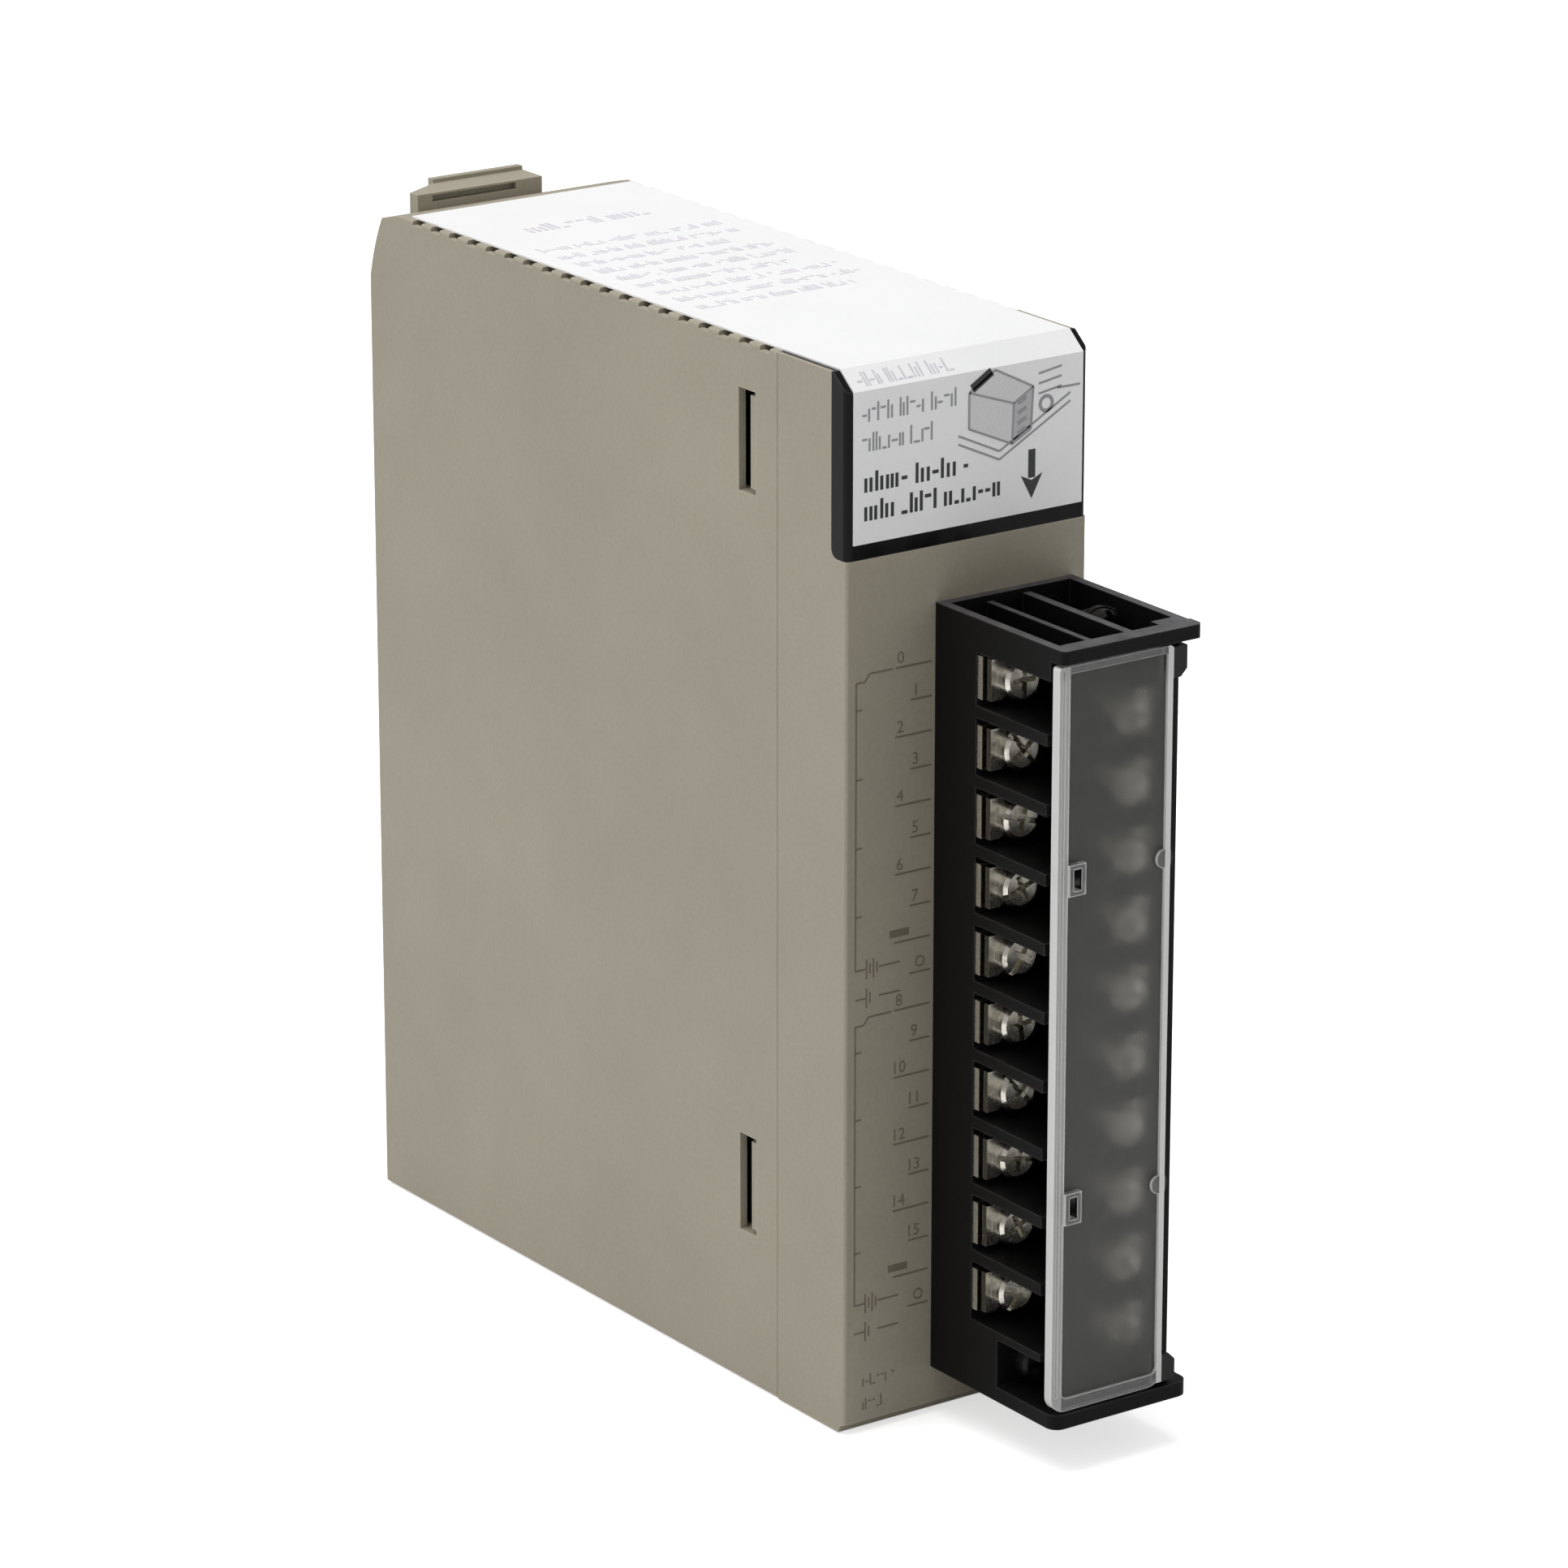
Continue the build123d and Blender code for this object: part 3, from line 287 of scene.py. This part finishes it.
def frosted_cover(name):
    """Smoky translucent plastic: a finely frosted panel in polished rims, whose edges, left faces and
    front bands carry a painted highlight in near white.
    """
    low, high = (Vector(c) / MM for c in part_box("terminal_cover"))
    rim_left, rim_right = low.x + 1.5, high.x - 3.2
    rim_foot, rim_head = low.z + 2.7, high.z - 2.1
    rim_front, panel_front = low.y + 0.5, low.y + 0.72
    slots, slot_reach = low.x + 2.6, 0.62
    ears = high.x - 2.4
    g = Graph(name)
    where = g.millimetres()
    across, deep, up = g.add("SeparateXYZ", Vector=where).outputs
    facing_x, facing_y = g.facing()[:2]
    outside = [
        g.maths("GREATER_THAN", g.distance(value, (a + b) / 2), (b - a) / 2)
        for value, a, b in ((across, rim_left, rim_right), (up, rim_foot, rim_head))
    ]
    proud = g.maths("LESS_THAN", deep, panel_front)
    rim = g.maths("MAXIMUM", g.maths("MAXIMUM", *outside), proud)

    cloud = g.remap(g.noise(where, 0.06, 2.0), 0.3, 0.7, 0.0, 1.0)
    grain = g.bump(g.noise(where, 5.0, 3.0, 0.6), 0.02)
    frost = g.add(
        "BsdfPrincipled",
        Base_Color=g.mix(cloud, (0.44, 0.44, 0.42), (0.50, 0.50, 0.48)),
        Roughness=0.40,
        IOR=1.42,
        Transmission_Weight=g.remap(up, low.z, high.z, 0.945, 0.972),
        Normal=grain,
    )
    polished = g.add(
        "BsdfPrincipled",
        Base_Color=(0.46, 0.46, 0.46),
        Roughness=g.remap(g.noise(where, 0.4, 3.0), 0.3, 0.7, 0.12, 0.26),
        IOR=1.46,
        Transmission_Weight=0.80,
    )
    painted_highlight = g.add(
        "BsdfPrincipled",
        Base_Color=(0.86, 0.86, 0.85),
        Roughness=0.25,
        Transmission_Weight=0.15,
    )
    near_black = g.add(
        "BsdfPrincipled",
        Base_Color=(0.012, 0.012, 0.013),
        Roughness=0.24,
        Specular_IOR_Level=0.25,
    )

    # Painted highlight: rim edges (fainter under the top), left-facing faces and front bands are painted
    # near white.
    side = g.remap(facing_x, -0.8, -0.3, 0.78, 0.0)
    below_head = g.remap(up, rim_head - 1.1, rim_head - 0.1, 1.0, 0.35)
    lines = g.maths("MULTIPLY", g.edge(0.30), below_head)
    forward = g.remap(facing_y, -0.7, -0.95, 0.0, 1.0)
    forward = g.maths("MULTIPLY", forward, g.maths("LESS_THAN", deep, rim_front))
    left_band = g.maths("MULTIPLY", g.maths("LESS_THAN", across, rim_left), 0.42)
    right_band = g.maths("MULTIPLY", g.maths("GREATER_THAN", across, rim_right), 0.85)
    bands = g.maths("MULTIPLY", forward, g.maths("MAXIMUM", left_band, right_band))
    painted_highlight_mask = g.maths("MULTIPLY", g.maths("MAXIMUM", g.maths("MAXIMUM", lines, side), bands), rim)

    body = g.blend(rim, frost.outputs[0], polished.outputs[0])
    body = g.blend(painted_highlight_mask, body, painted_highlight.outputs[0])
    # The slot walls are painted near black, a painted shade for the dark slots; the ears are painted near
    # black as well.
    beside_slot = g.maths("LESS_THAN", g.distance(across, slots), slot_reach)
    sideways = g.maths("GREATER_THAN", g.maths("ABSOLUTE", facing_x), 0.5)
    slot_wall = g.maths("MULTIPLY", beside_slot, sideways)
    ear = g.maths("GREATER_THAN", across, ears)
    body = g.blend(g.maths("MAXIMUM", ear, slot_wall), body, near_black.outputs[0])
    passing = g.add("BsdfTransparent", Color=(0.66, 0.66, 0.65)).outputs[0]
    lit = g.blend(g.add("LightPath").outputs["Is Shadow Ray"], body, passing)
    g.links.new(lit, g.output.inputs["Surface"])
    return g.material


# The terminal block's up-facing ground above this height is painted a lighter grey, a painted highlight
BLOCK_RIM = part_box("terminal_block_base")[1][2] / MM - 1.0
MATERIALS = {
    "case_plastic": moulded_plastic(
        "case_plastic", (0.338, 0.306, 0.239), 0.50, specular=0.35, lighter=1.35
    ),
    "window_plastic": smoked_window("window_plastic"),
    "label_film": label_film("label_film"),
    "circuit_board": circuit_board("circuit_board"),
    "chip_resin": moulded_plastic("chip_resin", (0.014, 0.014, 0.015), 0.55, grain_mm=0.15),
    "chip_ceramic": moulded_plastic("chip_ceramic", (0.030, 0.030, 0.034), 0.45, grain_mm=0.2),
    "capacitor_can": worked_metal(
        "capacitor_can", (0.62, 0.62, 0.64), (0.40, 0.40, 0.42), 0.30, (8.0, 1.0, 1.0)
    ),
    "led_lens": moulded_plastic("led_lens", (0.42, 0.62, 0.38), 0.22, grain_depth=0.002),
    "light_guide_plastic": moulded_plastic("light_guide_plastic", (0.62, 0.62, 0.60), 0.45),
    "connector_plastic": moulded_plastic("connector_plastic", (0.020, 0.020, 0.022), 0.42, grain_mm=0.25),
    "insert_brass": worked_metal("insert_brass", (0.70, 0.52, 0.26), (0.35, 0.24, 0.11), 0.30),
    "screw_steel": worked_metal(
        "screw_steel", (0.60, 0.59, 0.57), (0.34, 0.32, 0.29), 0.26, (1.0, 6.0, 1.0)
    ),
    "screw_blackened": worked_metal(
        "screw_blackened", (0.035, 0.034, 0.033), (0.015, 0.014, 0.014), 0.38
    ),
    "block_plastic": moulded_plastic(
        "block_plastic",
        (0.0055, 0.0052, 0.0054),
        0.46,
        specular=0.11,
        lighter=9.0,
        edge_mm=0.3,
        painted_sheen_above=BLOCK_RIM,
    ),
    "terminal_brass": worked_metal(
        "terminal_brass", (0.76, 0.73, 0.65), (0.36, 0.33, 0.27), 0.27, (1.0, 1.0, 5.0), painted_shade_axis=1
    ),
    "terminal_screw_steel": worked_metal(
        "terminal_screw_steel", (0.84, 0.81, 0.73), (0.36, 0.33, 0.28), 0.20, painted_shade_axis=0
    ),
    "cover_plastic": frosted_cover("cover_plastic"),
}
CASE_INK = printed_ink("case_ink", (0.165, 0.140, 0.105), 0.85)
LABEL_INK = printed_ink("label_ink", (0.022, 0.022, 0.024), 0.97)
LABEL_GREY_INK = printed_ink("label_grey_ink", (0.30, 0.30, 0.31), 0.8)
LABEL_MID_INK = printed_ink("label_mid_ink", (0.46, 0.46, 0.47), 0.8)
LABEL_PALE_INK = printed_ink("label_pale_ink", (0.66, 0.66, 0.67), 0.8)
# Painted highlight: the label's top print is painted pale, for the light that washes out the top.
LABEL_TOP_INK_PAINTED_PALE = printed_ink("label_top_ink_painted_pale", (0.60, 0.58, 0.62), 0.7)
CONTACT_METAL = worked_metal("contact_metal", (0.83, 0.62, 0.28), (0.55, 0.38, 0.14), 0.24)

SLOT_OF = {part["node"]: part["material_slot"] for part in frame["record"]["subparts"]}

# How far each node's sharp edges are rounded, in millimetres
ROUNDING = {
    "rear_case": 0.18,
    "front_case": 0.18,
    "indicator_window": 0.20,
    "terminal_block_base": 0.16,
    "terminal_cover": 0.12,
    "backplane_connector": 0.10,
    "mounting_screw_washer": 0.10,
    "terminals_left": 0.10,
    "terminals_right": 0.10,
}

for node, thing in frame["nodes"].items():
    thing.data.materials.clear()
    thing.data.materials.append(MATERIALS[SLOT_OF[node]])
    width = 0.08 if "screw" in node else ROUNDING.get(node)
    if width:
        rounding = thing.modifiers.new("rounding", "BEVEL")
        rounding.width = width * MM
        rounding.segments = 2
        rounding.limit_method = "ANGLE"
        rounding.angle_limit = math.radians(35)
        rounding.use_clamp_overlap = True

# ------------------------------------------------------------------ printed marks


def add_piece(name, mesh_builder, material, body):
    """Makes an object from a bmesh and lets it ride on a body."""
    bmesh.ops.remove_doubles(mesh_builder, verts=mesh_builder.verts, dist=1e-7)
    bmesh.ops.recalc_face_normals(mesh_builder, faces=mesh_builder.faces)
    mesh = bpy.data.meshes.new(name)
    mesh_builder.to_mesh(mesh)
    mesh_builder.free()
    thing = bpy.data.objects.new(name, mesh)
    bpy.context.scene.collection.objects.link(thing)
    thing.data.materials.append(material)
    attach(thing, body)
    return thing


def prism(builder, plane, outline):
    """Adds a closed thin mark: outline points in a plane's own millimetres, raised along its normal."""
    low = [builder.verts.new(plane @ Vector((u * MM, v * MM, 0))) for u, v in outline]
    high = [builder.verts.new(plane @ Vector((u * MM, v * MM, INK * MM))) for u, v in outline]
    builder.faces.new(list(reversed(low)))
    builder.faces.new(high)
    count = len(outline)
    for i in range(count):
        j = (i + 1) % count
        builder.faces.new((low[i], low[j], high[j], high[i]))


def bar(builder, plane, u, v, width, height):
    """A rectangular mark from its lower left corner."""
    prism(builder, plane, ((u, v), (u + width, v), (u + width, v + height), (u, v + height)))


def stroke(builder, plane, start, end, width):
    """A straight line of ink between two points."""
    along = Vector(end) - Vector(start)
    side = Vector((-along.y, along.x)).normalized() * width / 2
    a, b = Vector(start), Vector(end)
    prism(builder, plane, [tuple(p) for p in (a - side, b - side, b + side, a + side)])


def ring(builder, plane, centre, radius, width):
    """A ring of ink, from short closed pieces."""
    steps = 20
    for i in range(steps):
        a, b = (2 * math.pi * (i + k) / steps for k in (0, 1))
        corners = []
        for angle, reach in ((a, radius - width), (a, radius), (b, radius), (b, radius - width)):
            corners.append((centre[0] + reach * math.cos(angle), centre[1] + reach * math.sin(angle)))
        prism(builder, plane, corners)


def numeral(builder, plane, text, u, v, height):
    """A number in the built-in typeface, centred on u, standing on v."""
    curve = bpy.data.curves.new("numeral", "FONT")
    curve.body = text
    curve.size = height * 1.4 * MM
    curve.extrude = INK / 2 * MM
    curve.align_x = "CENTER"
    curve.resolution_u = 3
    thing = bpy.data.objects.new("numeral", curve)
    bpy.context.scene.collection.objects.link(thing)
    mesh = bpy.data.meshes.new_from_object(thing.evaluated_get(bpy.context.evaluated_depsgraph_get()))
    mesh.transform(plane @ Matrix.Translation((u * MM, v * MM, INK / 2 * MM)))
    builder.from_mesh(mesh)
    bpy.data.objects.remove(thing)
    bpy.data.curves.remove(curve)
    bpy.data.meshes.remove(mesh)


def upright_plane(depth_mm):
    """A plane facing the viewer at a depth: u is X, v is Z, and its normal is -Y."""
    return Matrix(((1, 0, 0, 0), (0, 0, -1, depth_mm * MM), (0, 1, 0, 0), (0, 0, 0, 1)))


def level_plane(height_mm):
    """A plane facing up at a height: u is X and v is Y."""
    return Matrix.Translation((0, 0, height_mm * MM))


CASE_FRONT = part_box("front_case")[0][1] / MM
LABEL_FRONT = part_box("dust_label")[0][1] / MM
LABEL_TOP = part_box("dust_label")[1][2] / MM
BLOCK_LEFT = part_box("terminal_block_base")[0][0] / MM
ROWS = 10
PITCH = (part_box("terminal_screw_a0")[0][2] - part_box("terminal_screw_a9")[0][2]) / MM / (ROWS - 1)
FIRST_Z = (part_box("terminal_screw_a0")[0][2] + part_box("terminal_screw_a0")[1][2]) / MM / 2
SECOND_Z = FIRST_Z - PITCH / 2


def front_print():
    """Terminal numbers, lead lines, supply rails and battery symbols on the case, left of the block."""
    b = bmesh.new()
    plane = upright_plane(CASE_FRONT)
    line = 0.22
    evens = (FIRST_Z, -9.5, ("0", "2", "4", "6", "bar", "8", "10", "12", "14", "bar"))
    odds = (SECOND_Z, -7.3, ("1", "3", "5", "7", "ring", "9", "11", "13", "15", "ring"))
    for top, u, marks in (evens, odds):
        for row, mark in enumerate(marks):
            z = top - PITCH * row
            if mark == "bar":
                bar(b, plane, u - 1.4, z + 0.7, 2.8, 0.9)
            elif mark == "ring":
                ring(b, plane, (u + 0.8, z + 1.3), 0.7, 0.2)
            else:
                numeral(b, plane, mark, u, z + 0.5, 1.5)
            stroke(b, plane, (u - 0.7, z), (BLOCK_LEFT - 0.5, z), line)
    rail, plates = -15.8, (2.4, 1.3, 2.4, 1.3)
    for start, end in ((0, 4), (5, 9)):
        high, low = FIRST_Z - PITCH * start, FIRST_Z - PITCH * end
        stroke(b, plane, (rail, high - 0.9), (rail, low - 2.4), line)
        stroke(b, plane, (rail, high - 0.9), (rail + 1.2, high - 0.9), line)
        stroke(b, plane, (rail + 1.2, high - 0.9), (rail + 1.9, high), line)
        stroke(b, plane, (rail + 1.9, high), (-10.6, high), line)
        for row in range(start, end):
            z = SECOND_Z - PITCH * row
            stroke(b, plane, (rail, z), (rail + 0.9, z), line)
        for drop, count in ((low - 2.4, 4), (low - 6.0, 2)):
            stroke(b, plane, (rail, drop), (rail + 1.5, drop), line)
            for k, tall in enumerate(plates[:count]):
                at = rail + 1.6 + 0.5 * k
                stroke(b, plane, (at, drop - tall / 2), (at, drop + tall / 2), line)
            stroke(b, plane, (rail + 3.4, drop), (-9.4, drop), line)
    for v, right in ((5.6, -9.6), (2.6, -11.0)):
        words(b, plane, -14.6, right, v, 1.5, line)
    add_piece("front_print", b, CASE_INK, "case")


def words(builder, plane, left, right, v, height, pen):
    """A line of greeked print: uneven ticks and dashes, grouped like words, that spell nothing."""
    u = left
    while u < right:
        for _ in range(RNG.randint(5, 10)):
            if u > right - 0.4 * height:
                break
            if RNG.random() < 0.22:
                dash = RNG.uniform(0.25, 0.4) * height
                bar(builder, plane, u, v + RNG.choice((0.0, 0.3, 0.6)) * height, dash, pen)
                u += dash + 0.8 * pen
            else:
                bar(builder, plane, u, v, pen, height * RNG.choice((0.7, 0.7, 1.0)))
                u += pen * RNG.uniform(1.5, 2.1)
        u += 0.35 * height


def sloped_plane(node):
    """The middle of a node's slope between its front and its top: u is X and v runs up the slope."""
    mesh = frame["nodes"][node].data
    slope = [face for face in mesh.polygons if face.normal.y < -0.3 and face.normal.z > 0.3]
    corners = [mesh.vertices[i].co for face in slope for i in face.vertices]
    foot, head = (pick(corners, key=lambda corner: corner.z) for pick in (min, max))
    across, normal = Vector((1, 0, 0)), slope[0].normal
    turn = Matrix((across, normal.cross(across), normal)).transposed().to_4x4()
    return Matrix.Translation((0, (foot.y + head.y) / 2, (foot.z + head.z) / 2)) @ turn


def label_print():
    """Generic marks on the label: a pictogram of a module, an arrow and greeked lines for words."""
    plane = upright_plane(LABEL_FRONT)
    above = upright_plane(LABEL_FRONT - INK)
    bold = bmesh.new()
    for v, right in ((116.0, 0.9), (112.6, 5.4)):
        words(bold, plane, -14.9, right, v, 2.4, 0.42)
    stroke(bold, plane, (9.0, 117.4), (9.0, 114.0), 1.0)
    prism(bold, plane, ((7.45, 114.4), (9.0, 111.5), (10.55, 114.4), (9.0, 113.7)))
    stroke(bold, above, (0.3, 125.9), (3.1, 127.6), 1.1)
    add_piece("label_print_bold", bold, LABEL_INK, "case")

    pen = 0.26
    fine = bmesh.new()
    for v, right in ((124.3, -1.2), (120.8, -4.6)):
        words(fine, plane, -15.2, right, v, 2.2, pen)
    front = ((-0.1, 121.2), (6.1, 118.5), (6.3, 123.3), (-0.1, 125.5))
    side = (front[1], (8.8, 119.9), (9.1, 124.9), front[2])
    roof = (front[3], front[2], side[2], (3.6, 127.7))
    for outline in (front, side, roof):
        for i in range(4):
            stroke(fine, above, outline[i], outline[(i + 1) % 4], pen)
    for v in (119.6, 120.8, 122.0, 123.2):
        stroke(fine, above, (6.9, v), (8.1, v + 0.6), 0.45)
    for drop in (0.0, 1.0):
        corners = ((-1.6, 120.6 - drop), (4.3, 117.9 - drop), (14.5, 123.4 - drop))
        for first, second in zip(corners, corners[1:]):
            stroke(fine, plane, first, second, pen)
    ring(fine, plane, (11.0, 122.6), 1.1, 0.45)
    for v in (123.9, 125.1, 126.3):
        stroke(fine, plane, (9.9, v), (13.2, v + 0.5), pen)
    stroke(fine, plane, (12.6, 124.2), (15.9, 124.2), pen)
    add_piece("label_print_fine", fine, LABEL_GREY_INK, "case")

    tint = bmesh.new()
    prism(tint, plane, front)
    prism(tint, plane, roof)
    add_piece("label_print_tint", tint, LABEL_PALE_INK, "case")
    shade = bmesh.new()
    prism(shade, plane, side)
    add_piece("label_print_shade", shade, LABEL_MID_INK, "case")

    # The print on the top is in pale ink, a painted highlight.
    top = bmesh.new()
    words(top, sloped_plane("dust_label"), -15.2, -1.0, -1.1, 2.0, pen)
    plane = level_plane(LABEL_TOP)
    for row in range(9):
        words(top, plane, -13.5, 13.5 - 4 * (row % 3 == 2), -34 - 4.2 * row, 2.2, 0.28)
    words(top, plane, -9.0, 9.0, -24.5, 3.2, 0.5)
    add_piece("label_print_top", top, LABEL_TOP_INK_PAINTED_PALE, "case")


front_print()
label_print()

# ------------------------------------------------------------------ threads and contacts


def skin(builder, sections):
    """Joins four-cornered sections, one after another, into a closed tube."""
    for first, second in zip(sections, sections[1:]):
        for k in range(4):
            j = (k + 1) % 4
            builder.faces.new((first[k], first[j], second[j], second[k]))
    builder.faces.new(sections[0])
    builder.faces.new(list(reversed(sections[-1])))


def thread(node, body, slot, root, crest, pitch, start, end):
    """A helical ridge round the threaded end of a screw, from one depth to another."""
    low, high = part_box(node)
    x, z = (low[0] + high[0]) / 2 / MM, (low[2] + high[2]) / 2 / MM
    b = bmesh.new()
    per_turn, fade, sunk = 28, 10, 0.06
    count = int((end - start) / pitch * per_turn)
    sections = []
    for i in range(count + 1):
        angle = 2 * math.pi * i / per_turn
        y = start + pitch * i / per_turn
        reach = root + (crest - root) * min(1.0, i / fade, (count - i) / fade)
        corners = []
        for radius, shift in ((root - sunk, -0.4), (reach, -0.06), (reach, 0.06), (root - sunk, 0.4)):
            place = (x + radius * math.cos(angle), y + shift * pitch, z + radius * math.sin(angle))
            corners.append(b.verts.new(Vector(place) * MM))
        sections.append(corners)
    skin(b, sections)
    add_piece(node + "_thread", b, MATERIALS[slot], body)


def blade(builder, x, z, width, path, thickness):
    """A strip of spring metal: a path of (depth, sideways) points, given a width in Z and a thickness."""
    sections = []
    for y, aside in path:
        corners = []
        for dx, dz in ((0, -1), (0, 1), (1, 1), (1, -1)):
            place = (x + aside + dx * thickness, y, z + dz * width / 2)
            corners.append(builder.verts.new(Vector(place) * MM))
        sections.append(corners)
    skin(builder, sections)


def backplane_contacts():
    """A pair of bowed gold leaves in each pocket of the backplane socket."""
    low, high = (Vector(c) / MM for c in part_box("backplane_connector"))
    pitch, columns, rows = 2.54, 3, 24
    wide, leaf = 0.7, 0.12
    middle = (high.x - 5.2, (low.z + high.z) / 2)
    bow = ((-4.9, 0.42), (-3.0, 0.36), (-1.7, 0.14), (-0.9, 0.30))
    b = bmesh.new()
    for column in range(columns):
        for row in range(rows):
            x = middle[0] + pitch * (column - (columns - 1) / 2)
            z = middle[1] + pitch * (row - (rows - 1) / 2)
            blade(b, x, z, wide, [(high.y + y, aside) for y, aside in bow], leaf)
            blade(b, x, z, wide, [(high.y + y, -aside - leaf) for y, aside in bow], leaf)
    add_piece("backplane_contacts", b, CONTACT_METAL, "case")


def header_contacts():
    """Two leaves beside each leg of the terminals, in the block header's sockets."""
    b = bmesh.new()
    leg, wide, leaf, gap = 1.0, 1.6, 0.1, 0.03
    path = ((-101.4, 0), (-92.2, 0))
    left_legs = (Vector(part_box("terminals_left")[1]) / MM).x - leg
    right_legs = (Vector(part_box("terminals_right")[0]) / MM).x + 0.2
    for first_z, x in ((FIRST_Z, left_legs), (SECOND_Z, right_legs)):
        for row in range(ROWS):
            z = first_z - PITCH * row
            blade(b, x + leg + gap, z, wide, path, leaf)
            blade(b, x - gap - leaf, z, wide, path, leaf)
    add_piece("header_contacts", b, CONTACT_METAL, "case")


M4 = {"root": 1.98, "crest": 2.13, "pitch": 0.7}
M3 = {"root": 1.48, "crest": 1.56, "pitch": 0.5}
thread("mounting_screw", "mounting_screw", "screw_steel", **M4, start=0.9, end=5.9)
for screw in ("block_screw_top", "block_screw_bottom"):
    thread(screw, screw, "screw_blackened", **M3, start=-101.7, end=-96.1)
backplane_contacts()
header_contacts()

# ------------------------------------------------------------------ studio


def area_light(name, place, target, size, watts):
    """A square softbox at a place, facing a target."""
    data = bpy.data.lights.new(name, "AREA")
    data.shape = "SQUARE"
    data.size = size
    data.energy = watts
    thing = bpy.data.objects.new(name, data)
    bpy.context.scene.collection.objects.link(thing)
    thing.location = place
    thing.rotation_euler = (Vector(target) - Vector(place)).to_track_quat("-Z", "Y").to_euler()


def studio_walls():
    """Even white walls: bright where the camera sees them, softer where they light the object."""
    world = bpy.data.worlds.new("studio")
    world.use_nodes = True
    nodes, links = world.node_tree.nodes, world.node_tree.links
    seen, felt = nodes["Background"], nodes.new("ShaderNodeBackground")
    for wall, strength in ((seen, 1.0), (felt, 0.40)):
        wall.inputs["Color"].default_value = (1.0, 1.0, 1.0, 1.0)
        wall.inputs["Strength"].default_value = strength
    choice = nodes.new("ShaderNodeMixShader")
    links.new(nodes.new("ShaderNodeLightPath").outputs["Is Camera Ray"], choice.inputs["Fac"])
    links.new(felt.outputs[0], choice.inputs[1])
    links.new(seen.outputs[0], choice.inputs[2])
    links.new(choice.outputs[0], nodes["World Output"].inputs["Surface"])
    return world


def studio():
    """A seamless pale floor, soft light from above and the left, and a little fill."""
    scene = bpy.context.scene
    scene.view_settings.view_transform = "Standard"
    g = Graph("floor_paint")
    where = g.add("TexCoord").outputs["Object"]
    cloud = g.remap(g.noise(where, 3.0, 3.0), 0.3, 0.7, 0.0, 1.0)
    body = g.mix(cloud, (0.86, 0.86, 0.86), (0.88, 0.88, 0.88))
    seen_glow = g.maths("MULTIPLY", g.add("LightPath").outputs["Is Camera Ray"], 0.62)
    material = g.finish(
        Base_Color=body,
        Roughness=0.9,
        Specular_IOR_Level=0.1,
        Emission_Color=(1.0, 1.0, 1.0),
        Emission_Strength=seen_glow,
    )
    b = bmesh.new()
    half, steps, gap = 6.0, 24, 0.0002
    bmesh.ops.create_grid(b, x_segments=steps, y_segments=steps, size=half)
    mesh = bpy.data.meshes.new("floor")
    b.to_mesh(mesh)
    b.free()
    floor = bpy.data.objects.new("floor", mesh)
    scene.collection.objects.link(floor)
    floor.location.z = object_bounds()[0][2] - gap
    floor.data.materials.append(material)
    floor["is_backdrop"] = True

    scene.world = studio_walls()
    centre = (0.0, -0.06, 0.065)
    area_light("overhead", (-0.25, 0.15, 1.3), centre, size=1.1, watts=15.0)
    area_light("left_softbox", (-1.3, 0.1, 0.5), centre, size=0.7, watts=2.2)
    area_light("front_fill", (0.5, -1.4, 0.35), centre, size=0.6, watts=0.8)


def camera():
    """A long lens at the photograph's viewing angle."""
    azimuth, elevation = math.radians(-35.15), math.radians(18.07)
    distance, aside, above = 863.8, 2.96, 1.95
    level = math.cos(elevation)
    back = Vector((math.sin(azimuth) * level, -math.cos(azimuth) * level, math.sin(elevation)))
    right = Vector((math.cos(azimuth), math.sin(azimuth), 0.0))
    up = back.cross(right)
    data = bpy.data.cameras.new("camera")
    data.sensor_width = 36.0
    data.lens = 162.55
    data.clip_start = 0.05
    data.clip_end = 20.0
    thing = bpy.data.objects.new("camera", data)
    bpy.context.scene.collection.objects.link(thing)
    aim = Vector((0.0, -60.0, 65.0))
    turn = Matrix((right, up, back)).transposed().to_4x4()
    place = (aim + back * distance + right * aside + up * above) * MM
    thing.matrix_world = Matrix.Translation(place) @ turn
    bpy.context.scene.camera = thing


studio()
camera()
